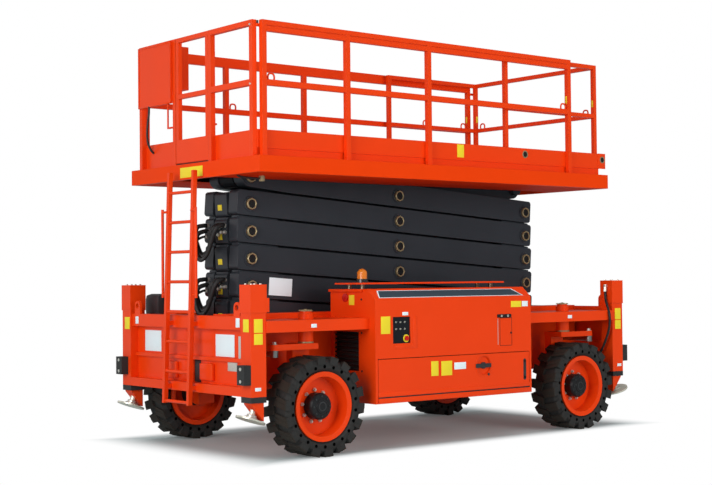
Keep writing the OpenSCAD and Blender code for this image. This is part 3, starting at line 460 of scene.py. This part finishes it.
# The sidewall holes are painted shade: near-black colour and no gloss in place of real holes.
overlay(tyre_rubber, hole, (0.001, 0.001, 0.001))
sheen = add(t, "MapRange", {"To Min": 0.2, "To Max": 0, "Value": hole})
skin = t.nodes["Principled BSDF"]
dent = add(t, "Bump", {"Strength": 0.9, "Distance": 0.02, "Height": hole,
                       "Normal": skin.inputs["Normal"].links[0].from_socket}, invert=True)
plug(t, skin, {"Specular IOR Level": sheen, "Normal": dent})
rim_paint = orange_coat("rim_paint", 0.3)
radius = from_axle(rim_paint.node_tree)[1]
cover = add(rim_paint.node_tree, "Math", {0: radius, 1: 0.1125}, operation="LESS_THAN")
overlay(rim_paint, cover, (0.016, 0.016, 0.017))


def bolt_circle(sx, y, count, reach, start=0.0):
    """Places on a circle about a wheel's axle line."""
    angles = [2 * math.pi * i / count + start for i in range(count)]
    return [(sx * kingpin_x + reach * math.cos(a), y, axle_z + reach * math.sin(a)) for a in angles]


for corner, sx, sy in corners:
    coat_nodes(tyre_rubber, "tyre_" + corner)
    coat_nodes(rim_paint, "rim_" + corner)
    bm = bmesh.new()
    stud(bm, (sx * eye_x, sy * eye_y, eye_z), (0, 0, 1), 0.028, washer, 24)
    stud(bm, (sx * eye_x, sy * eye_y, eye_z + washer), (0, 0, 1), 0.019, 0.018, 6)
    make("arm_bolt_" + corner, bm, zinc, "knuckle_" + corner)
    bm = bmesh.new()
    for i in range(lug_count):
        for row, side in ((0, 1), (0.5, -1)):
            start = math.radians(first_lug + (i + row) * 360 / lug_count)
            loops = []
            for r in (lug_foot, lug_top):
                loops.append([bm.verts.new((sx * (kingpin_x + r * math.cos(start + run / lug_top)),
                                            sy * (wheel_y + side * reach),
                                            axle_z - r * math.sin(start + run / lug_top)))
                              for run, reach in lug_outline])
            for k in range(4):
                bm.faces.new((loops[0][k], loops[0][k - 1], loops[1][k - 1], loops[1][k]))
            bm.faces.new(loops[1])
            bm.faces.new(loops[0][::-1])
    make("tread_blocks_" + corner, bm, tyre_rubber, "wheel_" + corner)
    bm = bmesh.new()
    for centre in bolt_circle(sx, sy * rim_face_y, 9, 0.135, 0.2):
        stud(bm, centre, (0, sy, 0), 0.0175, 0.014, 6)
        stud(bm, centre, (0, sy, 0), 0.01, 0.026, 12)
    make("wheel_bolts_" + corner, bm, zinc, "wheel_" + corner)
    bm = bmesh.new()
    for centre in bolt_circle(sx, sy * hub_face_y, 8, 0.084):
        stud(bm, centre, (0, sy, 0), 0.008, 0.007, 6)
    ring(bm, (sx * kingpin_x, sy * hub_cap_y, axle_z), (0, sy, 0), 0.03, 0.04, 0.004)
    make("hub_screws_" + corner, bm, black_plastic, "wheel_" + corner)

# Engine covers: folded sheet shells with a drop-down door and a black screen in the ladder end.
# The rain plates above them stand on plated bolts.
flanks = (("near", -1), ("far", 1))
cover_y, on_cover_y, cover_end_x = 1.12, 1.1202, -1.0402
lid_x0, lid_x1, lid_z0, lid_z1, seam = 0.45, 0.606, 0.85, 1.108, 0.004


def region(mat, centre, half, colour, plated=False):
    """Change the finish inside a box that is mirrored about the middle of the machine."""
    t = mat.node_tree
    reach = add(t, "VectorMath", {0: mirrored(t, centre)}, operation="ABSOLUTE")
    share = add(t, "VectorMath", {0: reach, 1: half}, operation="DIVIDE")
    axes = add(t, "SeparateXYZ", {0: share}).node.outputs
    wide = add(t, "Math", {0: axes["X"], 1: axes["Y"]}, operation="MAXIMUM")
    widest = add(t, "Math", {0: wide, 1: axes["Z"]}, operation="MAXIMUM")
    inside = add(t, "Math", {0: widest, 1: 1}, operation="LESS_THAN")
    overlay(mat, inside, colour)
    if plated:
        plug(t, t.nodes["Principled BSDF"], {"Metallic": inside})


hood_paint = orange_coat("hood_paint")
region(hood_paint, (1.03, 0.7235, 0.85), (0.02, 0.1685, 0.1699), (0.007, 0.007, 0.007))
coat_nodes(hood_paint, "hood_near", "hood_far")
coat_nodes(orange, "hood_door_near", "hood_door_far")
canopy_paint = orange_coat("canopy_paint")
region(canopy_paint, (0.5, 0.75, 1.41), (2, 1, 0.0198), (0.3, 0.24, 0.17), True)
coat_nodes(canopy_paint, "canopies")
seam_black = rubber("seam_black", (0.008, 0.008, 0.008), 0.8)
signal_red = rubber("signal_red", (0.5, 0.008, 0.006), 0.35, 200, 0.0005)


def face_box(bm, sy, x0, x1, z0, z1, proud, ease=0.0015):
    """Sheet on the upright face of an engine cover."""
    ys = sorted((sy * on_cover_y, sy * (cover_y + proud)))
    box(bm, (x0, ys[0], z0), (x1, ys[1], z1), ease)


for flank, sy in flanks:
    bm = bmesh.new()
    for x0, x1, z0, z1 in ((lid_x0, lid_x1, lid_z0, lid_z0 + seam), (lid_x0, lid_x1, lid_z1 - seam, lid_z1),
                           (lid_x0, lid_x0 + seam, lid_z0, lid_z1), (lid_x1 - seam, lid_x1, lid_z0, lid_z1)):
        face_box(bm, sy, x0, x1, z0, z1, 0.0012)
    face_box(bm, sy, 0.417, 0.594, 1.11, 1.141, 0.008)
    stud(bm, (0.594, sy * on_cover_y, 0.968), (0, sy, 0), 0.01, 0.005, 16)
    for z in (0.68, 1.01, 1.3):
        stud(bm, (cover_end_x, sy * 0.935, z), (-1, 0, 0), 0.009, 0.005, 12)
    make("cover_seams_" + flank, bm, seam_black, "chassis")
    bm = bmesh.new()
    for x in (0.467, 0.548):
        stud(bm, (x, sy * 1.1282, 1.1255), (0, sy, 0), 0.011, 0.004, 16)
    face_box(bm, sy, 0.421, 0.427, 0.862, 1.1, 0.003)
    make("cover_bright_parts_" + flank, bm, zinc, "chassis")
    bm = bmesh.new()
    ys = sorted((sy * 0.5, sy * 0.955))
    box(bm, (-1.066, ys[0], 1.366), (cover_end_x, ys[1], 1.3895), 0.003)
    make("cover_lip_" + flank, bm, orange, "chassis")
    bm = bmesh.new()
    ys = sorted((sy * 0.5555, sy * 0.8915))
    box(bm, (-1.0148, ys[0], 0.681), (-1.0118, ys[1], 1.0195), 0.0005)
    make("cover_screen_" + flank, bm, seam_black, "chassis")
    bm = bmesh.new()
    stud(bm, (cover_end_x, sy * 0.716, 1.315), (-1, 0, 0), 0.036, 0.014, 32)
    make("cover_reflector_" + flank, bm, signal_red, "chassis")

# Drop-down doors: a folded sill along the lower edge, a black sight slot,
# a black pull bar across the round latch recess and bare plates on the control side.
door_x0, door_x1 = -1.012, 0.832
latch_x, latch_z = 0.241, 0.68
slot_x, slot_half, slot_z0, slot_z1 = 0.77, 0.018, 0.541, 0.704
for flank, sy in flanks:
    bm = bmesh.new()
    face_box(bm, sy, door_x0, door_x1, 0.4065, 0.451, 0.007, 0.003)
    face_box(bm, sy, door_x0, door_x1, 0.462, 0.498, 0.004, 0.0035)
    ring(bm, (latch_x, sy * 1.1042, latch_z), (0, sy, 0), 0.083, 0.0895, 0.017)
    ring(bm, (latch_x, sy * on_cover_y, latch_z), (0, sy, 0), 0.0905, 0.105, 0.003)
    make("door_sill_" + flank, bm, orange, "hood_door_" + flank)
    bm = bmesh.new()
    face_box(bm, sy, door_x0, door_x1, 0.4515, 0.4615, 0.0012)
    face_box(bm, sy, slot_x - slot_half, slot_x + slot_half, slot_z0, slot_z1, 0.0016)
    for z in (slot_z0, slot_z1):
        stud(bm, (slot_x, sy * on_cover_y, z), (0, sy, 0), slot_half, 0.0014, 24)
    ys = sorted((sy * 1.1236, sy * 1.1316))
    box(bm, (0.135, ys[0], 0.661), (0.325, ys[1], 0.699), 0.004)
    stud(bm, (latch_x, sy * 1.1044, latch_z), (0, sy, 0), 0.03, 0.0195, 24)
    stud(bm, (0.296, sy * 1.1234, 0.598), (0, sy, 0), 0.012, 0.006, 16)
    make("door_black_parts_" + flank, bm, black_plastic, "hood_door_" + flank)
plate_proud = 0.0034
for name, mat, body, slot, faces, others in (
        ("door_plates_yellow", plate_yellow, "hood_door_near", "orange_paint",
         ((-0.405, -0.32, 0.615, 0.745), (-0.285, -0.155, 0.612, 0.741)), ()),
        ("door_plate_white", plate_white, "hood_door_near", "zinc", ((-0.128, 0.015, 0.66, 0.722),), ()),
        ("cover_plates_yellow", plate_yellow, "chassis", "orange_paint",
         ((-0.98, -0.875, 1.003, 1.153), (0.596, 0.732, 1.203, 1.26)),
         (on_end(cover_end_x, -0.838, -0.764, 1.25, 1.338, plate_proud),)),
        ("cover_plates_white", plate_white, "chassis", "zinc",
         ((0.741, 0.818, 1.208, 1.258), (-0.736, -0.67, 1.158, 1.187)),
         [on_side(-1.0402, x, x + 0.058, 1.077, 1.108, plate_proud) for x in (-1.668, 1.455)])):
    bm = bmesh.new()
    for x0, x1, z0, z1 in faces:
        face_box(bm, -1, x0, x1, z0, z1, plate_proud)
    for lo, hi in others:
        box(bm, lo, hi)
    make(name, bm, mat, body)

# Banner strip: a bare slate band with a pale edge along the slope of the control-side cover.
# Both are thin sheets with slanting ends, stuck on one over the other.
slope = Vector((0, 0.103, 0.092)).normalized()
lift = Vector((0, -0.092, 0.103)).normalized()
start = Vector((0, -cover_y, 1.298))
slate = paint("banner_slate", (0.035, 0.06, 0.078), (0.1, 0.14, 0.16), 0.4, edge=0.001)
for name, mat, low, high, x0, x1, up in (("banner_edge", plate_white, 0.02, 0.114, -0.985, 0.775, 0.0014),
                                         ("banner_strip", slate, 0.026, 0.108, -0.972, 0.76, 0.002)):
    bm = bmesh.new()
    outline = ((low, x0), (low, x1), (high, x1 - 0.09), (high, x0 + 0.03))
    rows = [[bm.verts.new(start + slope * along + lift * height + Vector((x, 0, 0))) for along, x in outline]
            for height in (0.0003, up)]
    skin_over(bm, rows)
    bm.faces.new(rows[0])
    bm.faces.new(rows[1])
    make(name, bm, mat, "chassis")

# Ground control: a black switch box sunk in the cover, with small switches
# and a red stop button on a yellow collar.
switch_y = -1.1082
stop_x, stop_z = -0.684, 0.958
panel_black = rubber("panel_black", (0.009, 0.01, 0.013), 0.4, 220, 0.0006)
region(panel_black, (-stop_x, 1.13, stop_z), (0.025, 0.0205, 0.025), (0.55, 0.01, 0.008))
panel_black.node_tree.nodes["Principled BSDF"].inputs["Specular IOR Level"].default_value = 0.12
coat_nodes(panel_black, "ground_control")
bm = bmesh.new()
face_box(bm, -1, -0.616, -0.568, 0.872, 1.152, 0.003, 0.0025)
face_box(bm, -1, -0.826, -0.616, 0.872, 0.906, 0.003, 0.0025)
make("ground_control_frame", bm, orange, "chassis")
bm = bmesh.new()
for x in (-0.80, -0.75, -0.70):
    for z in (1.04, 1.1):
        ring(bm, (x, switch_y, z), (0, -1, 0), 0.004, 0.008, 0.004, 20)
        stud(bm, (x, switch_y, z), (0, -1, 0.2), 0.0035, 0.015, 12)
make("ground_toggles", bm, zinc, "chassis")
bm = bmesh.new()
ring(bm, (stop_x, switch_y, stop_z), (0, -1, 0), 0.0202, 0.034, 0.004)
make("stop_collar", bm, plate_yellow, "chassis")
bm = bmesh.new()
stud(bm, (stop_x, -1.1194, stop_z), (0, -1, 0), 0.0225, 0.0085, 24, 0.3)
make("stop_button", bm, signal_red, "chassis")

# Beacon: an amber plastic lens with fine moulded ribs over a black foot.
# It stands on the near rain plate.
foot_top = 1.478
amber, t, skin = blank("amber_lens", {"Roughness": 0.18, "Coat Weight": 0.4})
place = add(t, "TexCoord", {}, "Object")
ribs = add(t, "TexWave", {"Scale": 30, "Vector": place}, "Fac")
rib_bump = add(t, "Bump", {"Strength": 0.3, "Distance": 0.003, "Height": ribs})
height = add(t, "SeparateXYZ", {0: place}, "Z")
foot = add(t, "Math", {0: height, 1: foot_top}, operation="LESS_THAN")
lens = add(t, "Mix", {"A": (0.75, 0.2, 0.012, 1), "B": (0.02, 0.02, 0.02, 1), "Factor": foot}, "Result",
           data_type="RGBA")
plug(t, skin, {"Base Color": lens, "Normal": rib_bump})
coat_nodes(amber, "beacon")

# Ladder: thin rails with round rungs, and a hand bar on each side.
# It is welded steel in the paint of the end frame that carries it.
coat_nodes(orange, "ladder")

# Scissor stack: charcoal box arms in pairs round a wide middle arm, on pins with plated rings.
# Low pads at their ends rest on each other when stowed; bare white and yellow plates are screwed on.
arm_paint = paint("arm_paint", (0.028, 0.0315, 0.038), (0.065, 0.072, 0.082), 0.36, coat=0.06, edge=0.008,
                  mottle=0.14)
levels = 6
coat_nodes(arm_paint, *["%s_arm_%d" % (w, k) for w in ("inner", "outer") for k in range(1, levels + 1)])
arm_span, level, stack_x, base_pin_z = 3.411, 0.239, -0.028, 0.947
rest = math.asin(level / arm_span)
half_run = arm_span * math.cos(rest) / 2
outer_face, pin_face, arm_tip = 0.2592, 0.2812, -1.8435
pin_r, ring_r, boss_r = 0.0384, 0.052, 0.068


def on_arm(bm, k, turn):
    """Tilt and move shapes made about an arm's middle pin to that arm's stowed place."""
    pivot = Matrix.Translation((stack_x, 0, base_pin_z + (k - 0.5) * level))
    bmesh.ops.transform(bm, matrix=pivot @ Matrix.Rotation(turn, 4, "Y"), verts=bm.verts)


for k in range(1, levels + 1):
    rings = bmesh.new()
    caps = bmesh.new()
    bosses = bmesh.new()
    for sy in (-1, 1):
        for step in (-1, 0, 1):
            if k == 1 and step == 1:
                continue
            x = stack_x + step * half_run
            z = base_pin_z + (k - 0.5) * level - step * level / 2
            ring(rings, (x, sy * outer_face, z), (0, sy, 0), pin_r, ring_r, 0.03, 8)
            ring(bosses, (x, sy * outer_face, z), (0, sy, 0), ring_r + 0.0005, boss_r, 0.01, 32)
            stud(caps, (x, sy * pin_face, z), (0, sy, 0), pin_r - 0.001, 0.001, 28)
            ring(caps, (x, sy * pin_face, z), (0, sy, 0), 0.012, 0.03, 0.003, 24)
            stud(caps, (x, sy * pin_face, z), (0, sy, 0), 0.007, 0.006, 10)
    make("pin_rings_%d" % k, rings, brass, "outer_%d" % k)
    make("pin_caps_%d" % k, caps, seam_black, "outer_%d" % k)
    make("pin_bosses_%d" % k, bosses, arm_paint, "outer_%d" % k)
    bm = bmesh.new()
    low = -0.062 if k in (3, 5) else -0.04
    box(bm, (arm_tip - 0.0018, -0.015, low), (arm_tip + 0.0018, 0.05, low + 0.05), 0.001)
    on_arm(bm, k, -rest)
    make("arm_end_plate_%d" % k, bm, plate_yellow, "inner_%d" % k)
pad_ends = ((-1.828, -1.4), (1.4, 1.78))
pad_z0, pad_z1 = 0.112, 0.1355
for kind, turn, spans, last_end in (("inner", -rest, ((-0.092, 0.092),), 0),
                                    ("outer", rest, ((-0.23, -0.128), (0.128, 0.23)), 1)):
    for k in range(1, levels):
        bm = bmesh.new()
        for y0, y1 in spans:
            for x0, x1 in pad_ends if k < levels - 1 else pad_ends[last_end:last_end + 1]:
                box(bm, (x0, y0, pad_z0), (x1, y1, pad_z1), 0.006)
        on_arm(bm, k, turn)
        make("%s_rest_pads_%d" % (kind, k), bm, arm_paint, "%s_%d" % (kind, k))
bm = bmesh.new()
box(bm, (-1.515, -0.2624, -0.068), (-1.265, -outer_face, 0.088))
on_arm(bm, 2, rest)
make("arm_plate_2", bm, plate_white, "outer_2")

# Arm hoses: at two levels black hydraulic hoses hang in a loop at the ladder end,
# from the outer arm on the far side to the next inner arm, in crimped plated fittings.
left = stack_x - half_run
arm_end_x = left - 0.136


def tube(bm, points, radius, sides=12):
    """Hose swept along a smooth line through its points."""
    line = []
    for i in range(len(points) - 1):
        p0, p1 = points[max(i - 1, 0)], points[i]
        p2, p3 = points[i + 1], points[min(i + 2, len(points) - 1)]
        for s in range(6):
            u = s / 6
            line.append(0.5 * (2 * p1 + (p2 - p0) * u + (2 * p0 - 5 * p1 + 4 * p2 - p3) * u * u
                               + (3 * p1 - p0 - 3 * p2 + p3) * u ** 3))
    line.append(points[-1])
    side = Vector((0.3, 1, 0.2)).normalized()
    loops = []
    for i, p in enumerate(line):
        along = (line[min(i + 1, len(line) - 1)] - line[max(i - 1, 0)]).normalized()
        side = (side - along * side.dot(along)).normalized()
        other = along.cross(side)
        loops.append([bm.verts.new(p + radius * (math.cos(a) * side + math.sin(a) * other))
                      for a in [2 * math.pi * j / sides for j in range(sides)]])
    skin_over(bm, loops)
    bm.faces.new(loops[0][::-1])
    bm.faces.new(loops[-1])


hose_rubber = rubber("hose_rubber", (0.009, 0.009, 0.009), 0.5, 300, 0.0006)
for k in (2, 4):
    z = base_pin_z + k * level
    on_outer = bmesh.new()
    on_inner = bmesh.new()
    for i, thick in enumerate((0.02, 0.02, 0.011)):
        middle = Vector((arm_end_x, -0.075 + 0.05 * i, z + 0.055 - 0.02 * (i == 2)))
        beyond = Vector((arm_end_x, 0.205 - 0.022 * (i == 1), z + 0.06 - 0.05 * i))
        low = Vector((left - 0.3 + 0.035 * i, 0.09 + 0.035 * i, z - 0.245 + 0.03 * i))
        path = [beyond + Vector((-0.022, 0, 0)), beyond + Vector((-0.06, 0, 0)),
                beyond + Vector((-0.12, 0.01, -0.03)), low + Vector((-0.005, 0.07, 0.1)),
                low, low + Vector((0.04, -0.06, 0.06)), middle + Vector((-0.105, 0.02, -0.05)),
                middle + Vector((-0.06, 0, 0)), middle + Vector((-0.022, 0, 0))]
        bm = bmesh.new()
        tube(bm, path, thick)
        bmesh.ops.recalc_face_normals(bm, faces=bm.faces)
        mesh = bpy.data.meshes.new("arm_hose")
        bm.to_mesh(mesh)
        bm.free()
        mesh.materials.append(hose_rubber)
        for face in mesh.polygons:
            face.use_smooth = True
        hose = bpy.data.objects.new("arm_hose_%d_%d" % (k, i), mesh)
        bpy.context.scene.collection.objects.link(hose)
        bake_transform(hose)
        stud(on_outer, beyond + Vector((0.004, 0, 0)), (-1, 0, 0), 0.019, 0.045, 6)
        stud(on_inner, middle + Vector((0.004, 0, 0)), (-1, 0, 0), 0.019, 0.045, 6)
        stud(on_inner, middle + Vector((0.004, 0, -0.06)), (-1, 0, 0), 0.017, 0.03, 6)
    make("hose_fittings_outer_%d" % k, on_outer, zinc, "outer_%d" % k)
    make("hose_fittings_inner_%d" % k, on_inner, zinc, "inner_%d" % (k + 1))

# Post hoses: each deck-end post is fed by one black hose that drops from its head
# past the wheel beam to the end panel.
post_hose_path = ((2.092, 0.965, 1.345), (2.09, 0.972, 1.25), (2.06, 1.02, 1.18), (2.045, 1.056, 1.11),
                  (2.05, 1.055, 1.03), (2.065, 1.02, 0.92), (2.065, 0.975, 0.82), (2.07, 0.925, 0.74),
                  (2.115, 0.86, 0.705), (2.1695, 0.845, 0.7))
for flank, sy in flanks:
    bm = bmesh.new()
    tube(bm, [Vector((x, sy * y, z)) for x, y, z in post_hose_path], 0.0125)
    make("post_hose_" + flank, bm, hose_rubber, "chassis")
    bm = bmesh.new()
    stud(bm, (2.092, sy * 0.965, 1.33), (0, 0, 1), 0.017, 0.07, 6)
    stud(bm, (2.115, sy * 0.965, 1.385), (-1, 0, 0), 0.014, 0.04, 6)
    make("post_hose_fitting_" + flank, bm, zinc, "chassis")

# Platform: welded deck with folded toe boards and square-tube guard rails in the same paint.
# The deck's lower sheets hide the roller tracks and are painted a darker copy of the orange as shade; the
# hangers between them are charcoal.
deck_x0, deck_x1, deck_z = left - 0.44, stack_x + half_run + 0.412, 2.495
posts = [deck_x0 + 0.106, deck_x0 + 0.989]
deck_paint = orange_coat("deck_paint")
region(deck_paint, (0, 0, 2.3), (1.95, 0.3, 0.1808), (0.014, 0.015, 0.017))
coat_nodes(deck_paint, "deck")
coat_nodes(orange, "toe_boards", "side_rail_near", "side_rail_far", "end_rail", "gate", "deck_control",
           "extension_deck", "extension_rails")
# Darker copy of the orange for the deck's underside: painted shade.
shaded_under_paint = paint("shaded_under_paint", (0.62, 0.03, 0.002), (0.7, 0.06, 0.01), 0.6, coat=0)
for dull in (shaded_under_paint, deck_paint):
    dull.node_tree.nodes["Principled BSDF"].inputs["Specular IOR Level"].default_value = 0.03
bm = bmesh.new()
for sy in (-1, 1):
    ys = sorted((sy * 0.31, sy * 1.0))
    box(bm, (deck_x0 + 0.03, ys[0], 2.3595), (deck_x1 - 0.03, ys[1], 2.3635), 0.001)
make("deck_lower_sheets", bm, shaded_under_paint, "platform")

# Guard rail fittings: bent rod loops for safety lines stand on the middle rails.
# Bare plates are fixed to posts and boards, and two holes in the toe boards have plated edges round a black
# disc of painted shade.
rail_y, toe_y, toe_end_y, tag_z0, tag_z1 = 0.936, -0.9137, -0.9187, 3.19, 3.26
mid_rail_z, extension_rail_z = deck_z + 0.6345, deck_z + 0.6245
loop_line = ((-0.03, 0), (-0.032, 0.028), (-0.018, 0.05), (0.018, 0.05), (0.032, 0.028), (0.03, 0))
bm = bmesh.new()
for x, y in ((posts[0] + 0.08, -rail_y), (deck_x1 - 0.545, -rail_y), (posts[0] + 0.08, rail_y),
             (posts[1] + 0.08, rail_y), (1.4, rail_y), (deck_x1 - 0.125, rail_y)):
    foot = Vector((x, y, mid_rail_z))
    tube(bm, [foot + Vector((step, 0, rise)) for step, rise in loop_line], 0.008, 8)
make("line_loops", bm, orange, "platform")
bm = bmesh.new()
for y in (-0.75, 0.75):
    foot = Vector((deck_x1 - 0.008, y, extension_rail_z))
    tube(bm, [foot + Vector((0, step, rise)) for step, rise in loop_line], 0.008, 8)
make("extension_line_loops", bm, orange, "extension")
sheets("extension_plates_yellow", plate_yellow, "extension",
       [on_end(2.0568, -0.87, -0.85, tag_z0, tag_z1, 0.0033),
        on_side(0.8378, 2.066, 2.088, tag_z0, tag_z1, 0.0033)])
sheets("platform_plates_yellow", plate_yellow, "platform",
       [on_side(toe_y, 0.13, 0.215, 2.59, 2.71, 0.0035),
        on_end(deck_x0 - 0.0002, -0.18, 0.18, 2.375, 2.465, 0.0034)]
       + [on_end(x, y, y + 0.02, tag_z0, tag_z1, 0.0033)
          for x, y in ((deck_x1 - 0.4967, -0.945), (deck_x1 - 0.0777, 0.92))])
toe_hole, end_hole = (1.022, toe_y, 2.66), (2.125, toe_end_y, 2.656)
bm = bmesh.new()
ring(bm, toe_hole, (0, -1, 0), 0.026, 0.036, 0.005)
make("toe_board_eyelet", bm, brass, "platform")
bm = bmesh.new()
# Black disc in the toe board's eyelet: painted shade for the hole.
stud(bm, toe_hole, (0, -1, 0), 0.0262, 0.0012, 28)
box(bm, (deck_x0 + 0.02, -0.235, deck_z + 0.0003), (deck_x0 + 0.058, 0.276, deck_z + 0.011))
make("toe_board_hole", bm, seam_black, "platform")
sheets("extension_toe_end", orange, "extension",
       [((deck_x1 - 0.02, -0.9185, 2.566), (2.174, -0.9141, 2.72))])
bm = bmesh.new()
ring(bm, end_hole, (0, -1, 0), 0.024, 0.034, 0.005)
make("extension_eyelet", bm, brass, "extension")
bm = bmesh.new()
# Black disc in the extension's eyelet: painted shade for the hole.
stud(bm, end_hole, (0, -1, 0), 0.0242, 0.0012, 28)
make("extension_hole", bm, seam_black, "extension")

# Rail couplings: pins and links at the corners where the guard rails meet,
# and the gate's thin handle rod.
bm = bmesh.new()
for y in (-0.885, 0.885):
    for z in (deck_z + 1.085, deck_z + 0.595):
        stud(bm, (deck_x0 + 0.0163, y, z), (-1, 0, 0), 0.009, 0.012, 12)
make("rail_pins", bm, zinc, "platform")
bm = bmesh.new()
box(bm, (deck_x0 + 0.05, -0.921, 3.565), (deck_x0 + 0.092, -0.9, 3.59))
box(bm, (deck_x1 - 0.04, 0.906, 3.5), (deck_x1 + 0.01, 0.922, 3.525))
stud(bm, (deck_x0 + 0.014, 0.405, 2.83), (0, 0, 1), 0.008, 0.72, 10, 0.01)
box(bm, (deck_x0 + 0.007, 0.3292, 2.8305), (deck_x0 + 0.03, 0.404, 2.8445))
make("rail_links", bm, orange, "platform")
bm = bmesh.new()
stud(bm, (deck_x0 + 0.07, -0.91, 3.5902), (0, 0, 1), 0.009, 0.026, 12)
make("rail_link_knob", bm, black_plastic, "platform")

# Deck feed: one black hose crosses under the near deck corner.
# It ends in a plated hexagon union on the deck's lower sheet.
feed_path = ((-2.1, -0.6, 2.362), (-2.06, -0.6, 2.345), (-1.96, -0.61, 2.338), (-1.86, -0.62, 2.336))
bm = bmesh.new()
tube(bm, [Vector(p) for p in feed_path], 0.01)
make("deck_feed_hose", bm, hose_rubber, "platform")
bm = bmesh.new()
stud(bm, (-1.86, -0.62, 2.3593), (0, 0, -1), 0.026, 0.046, 6)
make("deck_feed_union", bm, brass, "platform")

# Deck control: a black cable runs from the box under its guard plate to the toe board.
# The guard plate has a folded edge all round.
guard_y0, guard_y1, guard_z0, guard_z1, fold_w = 0.331, 0.889, 3.054, 3.607, 0.016
bm = bmesh.new()
for y0, y1, z0, z1 in ((guard_y0, guard_y0 + fold_w, guard_z0, guard_z1),
                       (guard_y1 - fold_w, guard_y1, guard_z0, guard_z1),
                       (guard_y0 + fold_w, guard_y1 - fold_w, guard_z0, guard_z0 + fold_w),
                       (guard_y0 + fold_w, guard_y1 - fold_w, guard_z1 - fold_w, guard_z1)):
    box(bm, (deck_x0 - 0.0085, y0, z0), (deck_x0 - 0.0037, y1, z1), 0.0015)
make("guard_plate_edges", bm, orange, "platform")
cable_path = ((-0.004, 0.70, 3.06), (-0.008, 0.70, 2.98), (-0.014, 0.71, 2.9), (-0.012, 0.725, 2.8),
              (0.004, 0.73, 2.72), (0.036, 0.73, 2.66), (0.06, 0.73, 2.64))
bm = bmesh.new()
tube(bm, [Vector((deck_x0 + x, y, z)) for x, y, z in cable_path], 0.01)
make("control_cable", bm, hose_rubber, "platform")
